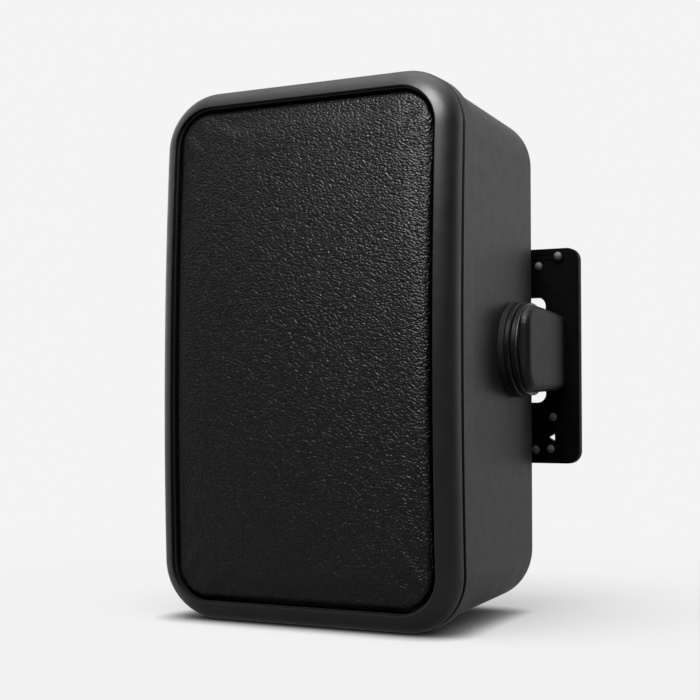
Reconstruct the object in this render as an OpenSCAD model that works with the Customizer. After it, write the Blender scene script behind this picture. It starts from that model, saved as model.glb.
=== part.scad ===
// A compact wall speaker: a moulded cabinet with a bowed bezel, a padded
// leather front and a tilting wall bracket at its right side.
// X runs to the right, Y from the front to the wall, Z up.
// The origin is the centre of the wall holes on the back face of the wall plate.

/* [Cabinet] */
// Width of the cabinet at its lip
cab_w = 159; // [156:1:180]
// Height of the cabinet at its lip
cab_h = 260; // [245:1:300]
// Depth from the front plane to the rear face
cab_depth = 110; // [108:1:130]
// Corner radius seen from the front
corner_r = 28; // [22:1:34]
// Amount the rear is narrower on each side
side_taper = 0.8; // [0:0.1:2]
// Amount the rear is lower at the top and again at the bottom
height_taper = 4.6; // [2:0.1:7]
// Round of the rear edge
rear_round = 4; // [3:0.5:6]
// Wall thickness of the moulded shell
wall = 3.4; // [3:0.1:4]
// Depth of the raised lip at the front of the shell
lip_depth = 8; // [6:0.5:10]
// Height of the lip above the sides
lip_step = 1.7; // [1.2:0.1:2]

/* [Bezel] */
// Depth of the bezel from the front plane to the seam
bezel_depth = 12.5; // [11:0.5:14]
// Width of the bezel's outer round
bezel_round = 14; // [12:0.5:16]
// Width of the bezel border around the cover
bezel_border = 8.6; // [8:0.1:9.4]
// Forward bow of the front at mid-height
bow_h = 4.5; // [3:0.1:5]
// Width of the dark seam between bezel and shell
seam_gap = 3; // [2.5:0.1:3.5]
// Distance of the seam gasket from the outline
seam_inset = 2.2; // [1.5:0.1:2.6]

/* [Front cover] */
// Shadow gap between the bezel and the padded cover
cover_gap = 2.7; // [2:0.1:3.5]
// Radius of the rolled edge of the cover
cover_roll = 4; // [3:0.5:5]
// Height of the cover's crown above its rolled edge
cover_crown = 1.2; // [0.5:0.1:2]
// Thickness of the rigid frame behind the cover
grille_t = 2.5; // [2:0.1:3]

/* [Baffle] */
// Thickness of the baffle board
baffle_t = 6; // [5:0.5:8]
// Distance of the baffle's front from the front plane
baffle_y = 18; // [17.5:0.5:19]
// Size of the corner screws' spacing from the baffle's edge
baffle_screw_inset = 11; // [9:0.5:13]
// Height of the woofer's axis above the cabinet's bottom
woofer_rise = 85; // [82:0.5:87]
// Radius of the tweeter cut-out
tweeter_cut_r = 27; // [26:0.5:29]
// Distance of the tweeter's axis below the cabinet's top
tweeter_drop = 62; // [58:0.5:64]

/* [Woofer] */
// Outer radius of the woofer's flange
woofer_r = 66; // [64:0.5:68]
// Thickness of the flange
flange_t = 2.4; // [2:0.1:3]
// Width of the flange that rests on the baffle
flange_rest = 8; // [7:0.5:9]
// Distance of the cone's rim from the flange's outer edge
cone_margin = 20; // [18:0.5:22]
// Radius of the voice coil's former
coil_r = 12.7; // [12:0.1:14]
// Depth of the cone from its rim to the former
cone_depth = 20; // [17:0.5:22]
// Thickness of the cone's paper
cone_t = 0.8; // [0.6:0.1:1.2]
// Radius of the dust cap
cap_r = 16; // [15:0.5:19]
// Travel of the cone each way
cone_travel = 3; // [2:0.5:3.5]
// Radius of the ring magnet
magnet_r = 35; // [32:0.5:38]
// Thickness of the ring magnet
magnet_t = 13; // [10:0.5:15]
// Thickness of the steel plates
plate_t = 5; // [4:0.5:6]

/* [Tweeter] */
// Outer radius of the tweeter's faceplate
tweeter_r = 34; // [32:0.5:36]
// Thickness of the faceplate
faceplate_t = 3; // [2.5:0.1:3.5]
// Radius of the dome
dome_r = 12.7; // [12:0.1:14]
// Travel of the dome each way
dome_travel = 0.3; // [0.2:0.1:0.5]
// Radius of the tweeter's magnet
tweeter_magnet_r = 24; // [22:0.5:26]

/* [Pivot] */
// Distance of the tilt axis from the front plane
pivot_y = 81.4; // [78:0.1:84]
// Height of the tilt axis above the cabinet's middle
pivot_z = 2.4; // [0:0.1:4]
// Radius of the rubber ring
rubber_r = 23.6; // [22.5:0.1:25]
// Thickness of the rubber ring
rubber_t = 3.1; // [2:0.1:3.5]
// Thickness of the collar on the ring
collar_t = 2.7; // [2.4:0.1:3.4]
// Amount the collar is smaller than the rubber ring
collar_step = 0.2; // [0.1:0.1:1]
// Thickness of the ring on the arm's side
arm_ring_t = 2.8; // [1.8:0.1:3]
// Thickness of the thin bright ring
bright_t = 0.5; // [0.4:0.1:1.2]
// Radius of the tilt shaft
shaft_r = 5; // [4:0.1:6]
// Radial clearance of the shaft in its bush
shaft_fit = 0.05; // [0.03:0.01:0.1]
// Gap between faces that turn on each other
turn_gap = 0.4; // [0.2:0.05:0.5]
// Wall of the pivot's bush
bush_wall = 2.5; // [2:0.1:3]

/* [Bracket] */
// Radius of the arm's round inner side
arm_r = 21.2; // [20:0.1:22.2]
// Thickness of the arm at the pivot
arm_t = 5.2; // [5:0.1:6]
// Height of the arm's neck behind its rings
neck_t = 0.6; // [0.5:0.1:2]
// Height of the arm where it meets the wall plate
arm_root_h = 39; // [34:1:42]
// Amount the arm leans inwards at the wall plate
arm_lean = 3.4; // [3:0.1:4]
// Corner radius of the arm seen from the side
arm_corner = 11.5; // [9:0.5:14]
// Edge round of the arm's outer face
arm_edge = 4; // [3:0.5:4.5]

/* [Wall plate] */
// Width of the wall plate
plate_w = 96; // [92:0.5:104]
// Height of the wall plate
plate_h = 112; // [108:0.5:116]
// Distance of the arm's root from the plate's right edge
arm_set = 7.3; // [7:0.1:9]
// Distance of the plate's centre below the tilt axis
plate_drop = 1.4; // [0:0.1:3]
// Corner radius of the wall plate
plate_r = 6.5; // [5:0.5:10]
// Gap from the cabinet's rear to the plate's rim
plate_gap = 13; // [11:0.1:14]
// Depth of the plate with its rim
plate_d = 4.6; // [4.4:0.1:6]
// Thickness of the plate's web
web_t = 3.6; // [3:0.1:4]
// Thickness of the rim's lip
rim_t = 2.8; // [1.4:0.1:3.2]
// Width of the raised border inside the lip
border_w = 5.4; // [5:0.1:7]
// Height of the raised border above the web
border_h = 0.6; // [0.3:0.1:0.8]
// Width of the cable window
window_w = 56.5; // [50:0.5:60]
// Height of the cable window
window_h = 55; // [50:0.5:58]
// Distance of the window's right edge from the plate's right edge
window_side = 18; // [17:0.1:20]
// Height of the window's centre above the plate's centre
window_rise = 3.1; // [1:0.1:4]
// Corner radius of the window
window_r = 4.6; // [3:0.1:5]
// Width of the raised bead around the window
bead = 2.6; // [2:0.1:5]
// Height of the bead above the web
bead_h = 0.6; // [0.4:0.1:0.8]
// Spacing of the wall holes across
hole_dx = 32; // [28:1:36]
// Spacing of the wall holes in height
hole_dz = 84; // [82:1:88]
// Radius of the wall holes
hole_r = 2.75; // [2.5:0.05:3]

/* [Terminals] */
// Width of the terminal cup's opening
cup_w = 50; // [46:1:54]
// Height of the terminal cup's opening
cup_h = 36; // [34:1:40]
// Depth of the terminal cup
cup_d = 16; // [15:0.5:17]
// Distance of the cup's opening from the inner face of the left wall
cup_side = 9.4; // [8:0.1:14]
// Distance of the cup's opening from the inner face of the bottom wall
cup_foot = 18.3; // [14:0.1:20]
// Spacing of the two binding posts
post_dx = 19; // [18:0.1:20]
// Radius of the threaded posts
post_r = 3; // [2.8:0.1:3.2]
// Radius of the plug socket in each post
socket_r = 2; // [1.9:0.05:2.1]
// Depth of the plug socket
socket_l = 10; // [8:0.5:11]
// Radius of the turning caps
post_cap_r = 5.8; // [5.4:0.1:6.2]
// Length of the turning caps
post_cap_l = 9; // [8:0.5:10]

/* [Crossover] */
// Width of the crossover board
board_w = 84; // [76:1:90]
// Height of the crossover board
board_h = 50; // [46:1:56]
// Height of the board's centre
board_z = 64; // [60:1:70]
// Height of the board's posts above the rear wall
board_post = 6; // [5:0.5:8]

/* [Hidden] */
$fn = 96;

// clearance between pieces that are seated in one another
seat = 0.1;
// small overrun of a cut past the face it leaves
over = 1;

// derived places along the depth
shell_front = bezel_depth + seam_gap;
lip_back = shell_front + lip_depth;
body_w = cab_w - 2 * lip_step;
body_h = cab_h - 2 * lip_step;
rear_w = body_w - 2 * side_taper;
rear_h = body_h - 2 * height_taper;
rear_inner = cab_depth - wall;
side_inner = cab_w / 2 - lip_step - wall;
inner_w = 2 * side_inner;
inner_h = cab_h - 2 * lip_step - 2 * wall;
baffle_w = inner_w - 2 * side_taper - 2 * seat;
baffle_back = baffle_y + baffle_t;
baffle_corner = corner_r - lip_step - wall;
ledge_y = 10;
cover_back = ledge_y - grille_t;

woofer_z = -cab_h / 2 + woofer_rise;
tweeter_z = cab_h / 2 - tweeter_drop;
woofer_cut_r = woofer_r - flange_rest;
cone_r = woofer_r - cone_margin;

// slope of the shell's top and bottom, as a share of the depth
function taper_at(y) = (y - lip_back) / (cab_depth - lip_back);
function half_h_at(y) = body_h / 2 - height_taper * taper_at(y);
function half_w_at(y) = body_w / 2 - side_taper * taper_at(y);
function bow(z) = -bow_h * max(0, 1 - pow(2 * z / cab_h, 2));
baffle_h = 2 * (half_h_at(baffle_back) - wall - seat);
cup_x = side_inner - cup_side - cup_w / 2;
cup_z = -(half_h_at(cab_depth) - wall - cup_foot - cup_h / 2);

// derived places of the bracket, counted from the cabinet's middle
side_x = half_w_at(pivot_y - rubber_r);
ring_x0 = side_x + seat;
collar_x0 = ring_x0 + rubber_t;
arm_ring_x0 = collar_x0 + collar_t + turn_gap;
bright_x0 = arm_ring_x0 + arm_ring_t;
arm_x0 = bright_x0 + bright_t + neck_t;
arm_x1 = arm_x0 + arm_t;
rim_y = cab_depth + plate_gap;
wall_y = rim_y + plate_d;
web_y = wall_y - web_t;
plate_x1 = arm_x1 - arm_lean + arm_set;
plate_x0 = plate_x1 - plate_w;
plate_cx = plate_x0 + plate_w / 2;
window_x1 = plate_x1 - window_side;
window_cx = window_x1 - window_w / 2;

// A ring of points: a rounded rectangle at depth y, bowed by a share b
corner_steps = 6;
side_steps = 8;
function ring(w, h, r, y, b, zc = 0) = let (hw = w / 2, hh = h / 2) [
    for (k = [0 : corner_steps]) let (a = 90 * k / corner_steps,
        z = zc + hh - r + r * sin(a)) [hw - r + r * cos(a), y + b * bow(z), z],
    for (k = [0 : corner_steps]) let (a = 90 + 90 * k / corner_steps,
        z = zc + hh - r + r * sin(a)) [-hw + r + r * cos(a), y + b * bow(z), z],
    for (k = [1 : side_steps - 1]) let (z = zc + (hh - r) * (1 - 2 * k / side_steps))
        [-hw, y + b * bow(z), z],
    for (k = [0 : corner_steps]) let (a = 180 + 90 * k / corner_steps,
        z = zc - hh + r + r * sin(a)) [-hw + r + r * cos(a), y + b * bow(z), z],
    for (k = [0 : corner_steps]) let (a = 270 + 90 * k / corner_steps,
        z = zc - hh + r + r * sin(a)) [hw - r + r * cos(a), y + b * bow(z), z],
    for (k = [1 : side_steps - 1]) let (z = zc - (hh - r) * (1 - 2 * k / side_steps))
        [hw, y + b * bow(z), z]
];
ring_n = 4 * (corner_steps + 1) + 2 * (side_steps - 1);

// A band of two triangles between each pair of points of two rings
function band(i, j) = [for (k = [0 : ring_n - 1]) let (m = (k + 1) % ring_n)
    each [[i * ring_n + m, i * ring_n + k, j * ring_n + m],
          [j * ring_n + m, i * ring_n + k, j * ring_n + k]]];

// A closed hoop: the last ring joins the first
module hoop(rings) {
    n = len(rings);
    polyhedron(points = [for (r = rings) each r],
        faces = [for (i = [0 : n - 1]) each band(i, (i + 1) % n)], convexity = 6);
}

// A skin closed by a point at its first and its last ring
module pod(rings, first_y, last_y, zc = 0) {
    n = len(rings);
    last = n * ring_n;
    polyhedron(points = concat([for (r = rings) each r], [[0, first_y, zc], [0, last_y, zc]]),
        faces = concat(
            [for (i = [0 : n - 2]) each band(i, i + 1)],
            [for (k = [0 : ring_n - 1]) [last, k, (k + 1) % ring_n]],
            [for (k = [0 : ring_n - 1])
                [last + 1, (n - 1) * ring_n + (k + 1) % ring_n, (n - 1) * ring_n + k]]),
        convexity = 6);
}

// The outline of the cabinet, inset by i from the lip, at depth y, bowed by b
function outline(i, y, b) =
    ring(cab_w - 2 * i, cab_h - 2 * i, max(corner_r - i, 1), y, b);
function body_ring(i, y) =
    ring(2 * (half_w_at(y) - i), 2 * (half_h_at(y) - i), max(corner_r - lip_step - i, 1), y, 0);

// Shapes that turn about an axis that points to the front
module face_front(x, y, z) {
    translate([x, y, z]) rotate([90, 0, 0]) children();
}
// Shapes that turn about an axis that points to the right
module face_right(x, y, z) {
    translate([x, y, z]) rotate([0, 90, 0]) children();
}
// A washer or tube with its axis along its own Z
module tube(r, bore, h) {
    difference() {
        cylinder(r = r, h = h);
        translate([0, 0, -over]) cylinder(r = bore, h = h + 2 * over);
    }
}
// A plate with rounded corners, standing in the XZ plane, its front at y
module slab(w, h, r, y, t) {
    translate([0, y + t, 0]) rotate([90, 0, 0]) linear_extrude(t) rounded(w, h, r);
}
module rounded(w, h, r) {
    union() {
        square([w - 2 * r, h], center = true);
        square([w, h - 2 * r], center = true);
        for (x = [-1, 1], z = [-1, 1])
            translate([x * (w / 2 - r), z * (h / 2 - r)]) circle(r);
    }
}
// A pan-head screw whose head faces the front, its seat at y
module pan_screw(x, y, z, r, l, head_r, head_h) {
    face_front(x, y, z) {
        difference() {
            union() {
                cylinder(r = head_r, h = head_h * 0.5);
                translate([0, 0, head_h * 0.5]) cylinder(r1 = head_r, r2 = head_r * 0.7, h = head_h * 0.5);
                translate([0, 0, -l]) cylinder(r = r, h = l + head_h * 0.25);
            }
            for (a = [0, 90]) rotate(a) translate([-head_r * 0.5, -head_r * 0.1, head_h * 0.55])
                cube([head_r, head_r * 0.2, head_h]);
        }
    }
}

// The moulded box: a bowed front edge, a raised lip and a slightly smaller rear
module shell_skin() {
    inner_r = max(rear_round - wall, 0.6);
    rings = [
        for (a = [0 : 30 : 90])
            body_ring(rear_round * (1 - cos(90 - a)) + 0, cab_depth - rear_round * (1 - sin(90 - a))),
        body_ring(0, lip_back),
        outline(0, lip_back, 0),
        outline(0, shell_front, 1),
        outline(lip_step + wall, shell_front, 1),
        ring(inner_w, inner_h, baffle_corner, lip_back, 0),
        inner_ring(0, rear_inner - inner_r),
        inner_ring(inner_r, rear_inner)
    ];
    pod(rings, cab_depth, rear_inner);
}
function inner_ring(i, y) =
    ring(2 * (half_w_at(y) - wall - i), 2 * (half_h_at(y) - wall - i),
        max(baffle_corner - i, 1), y, 0);

// Places of the four screws that hold the baffle
function baffle_corners() = [for (x = [-1, 1], z = [-1, 1])
    [x * (baffle_w / 2 - baffle_screw_inset), z * (baffle_h / 2 - baffle_screw_inset)]];
boss_r = 4.5;
screw_r = 1.5;
bush_r = shaft_r + shaft_fit + bush_wall;
bush_l = 14;
bush_boss_wall = 3;
bush_flange = 2;
bush_x1 = side_x - bush_flange;
nut_t = 5;
spring_t = 1.2;
cup_wall = 2;
cup_flange_t = 2;
cup_flange = 5;
cup_inner_y = cab_depth - cup_d;

module cabinet_shell() {
    color([0.13, 0.13, 0.135])
    difference() {
        union() {
            shell_skin();
            for (p = baffle_corners())
                face_front(p[0], rear_inner + wall / 2, p[1])
                    cylinder(r = boss_r, h = rear_inner + wall / 2 - baffle_back, $fn = 48);
            // boss that holds the pivot's bush, with four webs to the side wall
            face_right(bush_x1 - bush_l, pivot_y, pivot_z)
                cylinder(r = bush_r + bush_boss_wall, h = bush_l + bush_flange - wall / 2);
            for (a = [45 : 90 : 315])
                translate([side_inner - 8, pivot_y, pivot_z]) rotate([a, 0, 0])
                    translate([0, bush_r, -1.2]) cube([8 + wall / 3, 9, 2.4]);
            // posts of the crossover board
            for (p = board_posts())
                face_front(p[0], rear_inner + wall / 2, p[1])
                    cylinder(r = 3.5, h = board_post + wall / 2, $fn = 48);
        }
        // bore for the bush and the round seat of its flange
        face_right(bush_x1 - bush_l - over, pivot_y, pivot_z)
            cylinder(r = bush_r + seat / 2, h = bush_l + 20);
        face_right(bush_x1, pivot_y, pivot_z)
            cylinder(r = bush_r + 3 + seat, h = 20);
        // pilot holes for the baffle screws and the board screws
        for (p = baffle_corners())
            face_front(p[0], baffle_back + 16, p[1]) cylinder(r = screw_r - 0.1, h = 18, $fn = 32);
        for (p = board_posts())
            face_front(p[0], rear_inner - board_post + 7, p[1]) cylinder(r = 1.1, h = 8, $fn = 32);
        // opening for the terminal cup, with a seat for its flange
        translate([-cup_x, cab_depth + over, cup_z]) rotate([90, 0, 0])
            linear_extrude(wall + 2 * over)
                rounded(cup_w + 2 * cup_wall + 2 * seat, cup_h + 2 * cup_wall + 2 * seat, 5);
        for (p = cup_screws())
            face_front(p[0], cab_depth + over, p[1]) cylinder(r = 1.3, h = wall + 2 * over, $fn = 32);
    }
}

// The soft gasket that closes the seam behind the bezel
module seam_gasket() {
    y0 = bezel_depth + seat;
    y1 = shell_front - seat;
    i0 = seam_inset;
    i1 = skirt_inset - seat;
    color([0.02, 0.02, 0.02])
        hoop([outline(i0, y1, 1), outline(i0, y0, 1), outline(i1, y0, 1), outline(i1, y1, 1)]);
}

// The bezel: a large outer round, a narrow lip around the cover, a ledge for the
// grille frame and a skirt that stands on the baffle
skirt_inset = 5.4;
skirt_t = 3;
round_steps = 7;
module front_bezel() {
    inner_i = bezel_border;
    t_in = asin(1 - inner_i / bezel_round);
    y_in = bezel_depth * (1 - cos(t_in));
    color([0.1, 0.1, 0.105])
    hoop(concat(
        [for (k = [0 : round_steps]) let (t = 90 - (90 - t_in) * k / round_steps)
            outline(bezel_round * (1 - sin(t)), bezel_depth * (1 - cos(t)), 1)],
        [
            outline(inner_i + 0.5, y_in + 0.6, 1),
            outline(inner_i + 0.5, ledge_y, 0),
            outline(ledge_i, ledge_y, 0),
            outline(ledge_i, ledge_y + 2, 0),
            outline(skirt_inset + skirt_t, ledge_y + 2, 0),
            outline(skirt_inset + skirt_t, baffle_y - seat, 0),
            outline(skirt_inset, baffle_y - seat, 0),
            outline(skirt_inset, bezel_depth, 1)
        ]));
}
ledge_i = bezel_border + 5;

// The leather-covered panel: rolled edges and a slight crown
module front_cover() {
    i0 = bezel_border + cover_gap;
    front = 1.6;
    color([0.05, 0.05, 0.05])
    pod(concat(
        [outline(i0 + 1.5, cover_back - seat, 0), outline(i0, cover_back - 1, 0)],
        [for (a = [0 : 22.5 : 90])
            outline(i0 + cover_roll * (1 - cos(a)), front + cover_roll * (1 - sin(a)), 1)],
        [for (k = [1 : 6]) let (s = k / 6)
            outline(i0 + cover_roll + (cab_w / 2 - i0 - cover_roll - 2) * s * s,
                front - cover_crown * (1 - pow(1 - s, 2)), 1)]),
        cover_back - seat, front - cover_crown - bow_h);
}

// The rigid frame behind the cover, with bars and pegs that enter the baffle
function grille_pegs() = [for (x = [-1, 1], z = [-1, 0, 1])
    [x * (cab_w / 2 - ledge_i - 3.5), z * cab_h * 9 / 26]];
peg_r = 2.4;
module grille_frame() {
    w = cab_w - 2 * (bezel_border + cover_gap);
    h = cab_h - 2 * (bezel_border + cover_gap);
    r = corner_r - bezel_border - cover_gap;
    bar = 11;
    color([0.06, 0.06, 0.06]) {
        difference() {
            slab(w, h, r, cover_back, grille_t - seat);
            for (z = [woofer_z, tweeter_z])
                face_front(0, ledge_y + over, z)
                    cylinder(r = z == woofer_z ? cone_r + 10 : dome_r + 10, h = 2 * grille_t + over);
            for (x = [-1, 1], z = [-1, 1])
                translate([x * (w / 2 - bar - 10), 0, z * (h / 2 - bar - 10)])
                    face_front(0, ledge_y + over, 0) cylinder(r = 7, h = 2 * grille_t + over, $fn = 48);
        }
        for (p = grille_pegs())
            face_front(p[0], baffle_y + baffle_t / 2, p[1])
                cylinder(r = peg_r, h = baffle_y + baffle_t / 2 - ledge_y + 1, $fn = 48);
    }
}

// The board that carries both drivers
module front_baffle() {
    color([0.12, 0.12, 0.12])
    difference() {
        slab(baffle_w, baffle_h, baffle_corner - seat, baffle_y, baffle_t);
        face_front(0, baffle_back + over, woofer_z) cylinder(r = woofer_cut_r, h = baffle_t + 2 * over);
        face_front(0, baffle_back + over, tweeter_z) cylinder(r = tweeter_cut_r, h = baffle_t + 2 * over);
        for (p = baffle_corners())
            face_front(p[0], baffle_back + over, p[1])
                cylinder(r = screw_r + 0.2, h = baffle_t + 2 * over, $fn = 32);
        for (p = grille_pegs())
            face_front(p[0], baffle_back + over, p[1])
                cylinder(r = peg_r + seat, h = baffle_t + 2 * over, $fn = 48);
        for (a = woofer_screw_angles())
            screw_place(a, woofer_screw_pcr, woofer_z)
                cylinder(r = screw_r - 0.1, h = 2 * baffle_t, center = true, $fn = 32);
        for (a = tweeter_screw_angles())
            screw_place(a, tweeter_screw_pcr, tweeter_z)
                cylinder(r = 1.1, h = 2 * baffle_t, center = true, $fn = 32);
    }
}
module baffle_screws() {
    color([0.3, 0.3, 0.32])
        for (p = baffle_corners()) pan_screw(p[0], baffle_y - 0.02, p[1], screw_r - 0.2, 18, 3.2, 2);
}

// Screws on a circle about a driver's axis, on the front of the baffle
woofer_screw_pcr = (woofer_cut_r + woofer_r) / 2;
tweeter_screw_pcr = (tweeter_cut_r + tweeter_r) / 2;
function woofer_screw_angles() = [for (k = [0 : 3]) 45 + 90 * k];
function tweeter_screw_angles() = [for (k = [0 : 3]) 45 + 90 * k];
module screw_place(a, pcr, z) {
    face_front(pcr * cos(a), baffle_y, z + pcr * sin(a)) children();
}

// The woofer. Heights in its profiles run to the front from the baffle's face.
basket_depth = 44;
basket_foot_r = 30;
spider_h = -24;
top_plate_h = -basket_depth;
former_h0 = top_plate_h - plate_t - magnet_t / 2;
surround_roll = cone_travel + 0.4;
surround_in = cone_r;
surround_out = cone_r + 4 * surround_roll / 2 + 1;
cone_rim_h = flange_t + 0.4;
cone_foot_h = cone_rim_h - cone_depth;
module woofer_at() {
    face_front(0, baffle_y, woofer_z) children();
}
basket_window = woofer_r * 3 / 11;
module woofer_basket() {
    rim = woofer_cut_r - 1;
    color([0.16, 0.16, 0.17])
    woofer_at() difference() {
        rotate_extrude() polygon([
            [surround_out, 0], [rim - 3, 0], [rim - 5, -14], [basket_foot_r + 4, -basket_depth + 4],
            [coil_r + 6, -basket_depth + 3], [coil_r + 6, -basket_depth],
            [basket_foot_r, -basket_depth], [basket_foot_r + 7, -basket_depth + 3],
            [rim - 2, -14.5], [rim, -2], [rim, 0], [woofer_r, 0], [woofer_r, flange_t],
            [surround_out, flange_t]]);
        for (k = [0 : 5]) rotate([0, 0, 60 * k + 30])
            translate([0, -basket_window / 2, -basket_depth + 8])
                cube([woofer_r + over, basket_window, basket_depth - 20]);
        for (a = woofer_screw_angles())
            rotate([0, 0, a]) translate([woofer_screw_pcr, 0, -over])
                cylinder(r = screw_r + 0.3, h = flange_t + 2 * over, $fn = 32);
    }
}
module woofer_trim_ring() {
    color([0.1, 0.1, 0.1])
        woofer_at() translate([0, 0, flange_t + 0.5]) tube(surround_out + 3.5, surround_out + seat, 1.2);
}
module woofer_surround() {
    m = (surround_in + surround_out) / 2;
    ro = (surround_out - surround_in) / 2 - 0.4;
    color([0.04, 0.04, 0.04])
    woofer_at() translate([0, 0, flange_t]) rotate_extrude() {
        translate([m, 0]) intersection() {
            difference() {
                circle(ro);
                circle(ro - 0.5);
            }
            translate([-ro, 0]) square([2 * ro, ro]);
        }
        translate([m + ro - 0.5, 0]) square([3.4, 0.4]);
        translate([m - ro - 1.6, 0]) square([2.1, 0.4]);
    }
}
module woofer_cone() {
    color([0.07, 0.07, 0.075])
    woofer_at() rotate_extrude() polygon([
        [cone_r, cone_rim_h - 0.6], [cone_r - 1.2, cone_rim_h - 0.6],
        [(cone_r + coil_r) / 2 + 2, (cone_rim_h + cone_foot_h) / 2 - 2.4],
        [coil_r + 0.6, cone_foot_h], [coil_r + 0.6, cone_foot_h - cone_t],
        [(cone_r + coil_r) / 2 + 2.6, (cone_rim_h + cone_foot_h) / 2 - 2.4 - cone_t],
        [cone_r, cone_rim_h - 0.6 - cone_t]]);
}
module woofer_dust_cap() {
    ball = (cap_r * cap_r + 36) / 12;
    seat_h = cone_foot_h + (cap_r - coil_r) * 0.42 + cone_t;
    color([0.06, 0.06, 0.06])
    woofer_at() translate([0, 0, seat_h]) rotate_extrude() difference() {
        intersection() {
            translate([0, 6 - ball]) circle(ball);
            square([cap_r, 20]);
        }
        translate([0, 6 - ball]) circle(ball - 0.7);
    }
}
module woofer_voice_coil() {
    color([0.72, 0.45, 0.2])
    woofer_at() union() {
        translate([0, 0, former_h0]) tube(coil_r, coil_r - 0.4, cone_foot_h - former_h0);
        translate([0, 0, top_plate_h - plate_t - 2]) tube(coil_r + 0.7, coil_r - 0.1, plate_t + 4);
    }
}
module woofer_spider() {
    r0 = coil_r + 0.3;
    r1 = 32;
    n = 5;
    steps = 40;
    function wave(s) = 1.3 * sin(360 * n * s);
    color([0.75, 0.66, 0.4])
    woofer_at() translate([0, 0, spider_h]) rotate_extrude() polygon(concat(
        [for (k = [0 : steps]) let (s = k / steps) [r0 + (r1 - r0) * s, wave(s) + 0.25]],
        [for (k = [steps : -1 : 0]) let (s = k / steps) [r0 + (r1 - r0) * s, wave(s) - 0.25]]));
}
module woofer_top_plate() {
    color([0.62, 0.63, 0.65])
        woofer_at() translate([0, 0, top_plate_h - plate_t]) tube(magnet_r - 3, coil_r + 1.3, plate_t);
}
module woofer_magnet() {
    color([0.18, 0.18, 0.19])
        woofer_at() translate([0, 0, top_plate_h - plate_t - magnet_t]) tube(magnet_r, coil_r + 6, magnet_t);
}
module woofer_yoke() {
    back = top_plate_h - plate_t - magnet_t;
    pole = coil_r - 1.2;
    color([0.6, 0.61, 0.63])
    woofer_at() difference() {
        union() {
            translate([0, 0, back - plate_t]) cylinder(r = magnet_r - 3, h = plate_t);
            translate([0, 0, back - plate_t]) cylinder(r = pole, h = plate_t + magnet_t + plate_t);
        }
        translate([0, 0, back - plate_t - over]) cylinder(r = 4, h = 2 * plate_t + magnet_t + 2 * over);
    }
}
module woofer_screws() {
    color([0.3, 0.3, 0.32])
        for (a = woofer_screw_angles())
            pan_screw(woofer_screw_pcr * cos(a), baffle_y - flange_t - 0.02,
                woofer_z + woofer_screw_pcr * sin(a), screw_r - 0.2, 8, 2.8, 1.8);
}

// The tweeter. Heights in its profiles run to the front from the baffle's face.
tweeter_top_h = -4;
tweeter_plate_t = 3;
tweeter_magnet_t = 9;
dome_base_h = 0.6;
module tweeter_at() {
    face_front(0, baffle_y, tweeter_z) children();
}
module tweeter_faceplate() {
    color([0.08, 0.08, 0.08])
    tweeter_at() difference() {
        union() {
            cylinder(r = tweeter_r, h = faceplate_t);
            translate([0, 0, -3.9]) cylinder(r = tweeter_cut_r - 0.3, h = 4);
        }
        translate([0, 0, -5]) cylinder(r = dome_r + 3.5, h = 5.4);
        translate([0, 0, dome_base_h + 0.4]) cylinder(r1 = dome_r + 1.4, r2 = dome_r + 7, h = faceplate_t);
        translate([0, 0, -1]) cylinder(r = dome_r + 1.4, h = 6);
        for (a = tweeter_screw_angles())
            rotate([0, 0, a]) translate([tweeter_screw_pcr, 0, -over])
                cylinder(r = 1.4, h = faceplate_t + 2 * over, $fn = 32);
    }
}
module tweeter_dome() {
    ball = (dome_r * dome_r + 25) / 10;
    color([0.05, 0.05, 0.055])
    tweeter_at() translate([0, 0, dome_base_h]) rotate_extrude() difference() {
        intersection() {
            translate([0, 5 - ball]) circle(ball);
            square([dome_r, 20]);
        }
        translate([0, 5 - ball]) circle(ball - 0.5);
    }
}
module tweeter_voice_coil() {
    color([0.72, 0.45, 0.2])
        tweeter_at() translate([0, 0, tweeter_top_h - tweeter_plate_t - dome_travel])
            tube(dome_r - 0.1, dome_r - 0.5, dome_base_h - tweeter_top_h + tweeter_plate_t + dome_travel);
}
module tweeter_top_plate() {
    color([0.62, 0.63, 0.65])
        tweeter_at() translate([0, 0, tweeter_top_h - tweeter_plate_t])
            tube(tweeter_magnet_r - 1, dome_r + 0.5, tweeter_plate_t);
}
module tweeter_magnet() {
    color([0.18, 0.18, 0.19])
        tweeter_at() translate([0, 0, tweeter_top_h - tweeter_plate_t - tweeter_magnet_t])
            tube(tweeter_magnet_r, dome_r + 3, tweeter_magnet_t);
}
module tweeter_yoke() {
    back = tweeter_top_h - tweeter_plate_t - tweeter_magnet_t;
    color([0.6, 0.61, 0.63])
    tweeter_at() union() {
        translate([0, 0, back - 3]) cylinder(r = tweeter_magnet_r - 1, h = 3);
        translate([0, 0, back - 3]) cylinder(r = dome_r - 1.1, h = 3 + tweeter_magnet_t + tweeter_plate_t);
    }
}
module tweeter_screws() {
    color([0.3, 0.3, 0.32])
        for (a = tweeter_screw_angles())
            pan_screw(tweeter_screw_pcr * cos(a), baffle_y - faceplate_t - 0.02,
                tweeter_z + tweeter_screw_pcr * sin(a), 1.0, 8, 2, 1.4);
}

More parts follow.
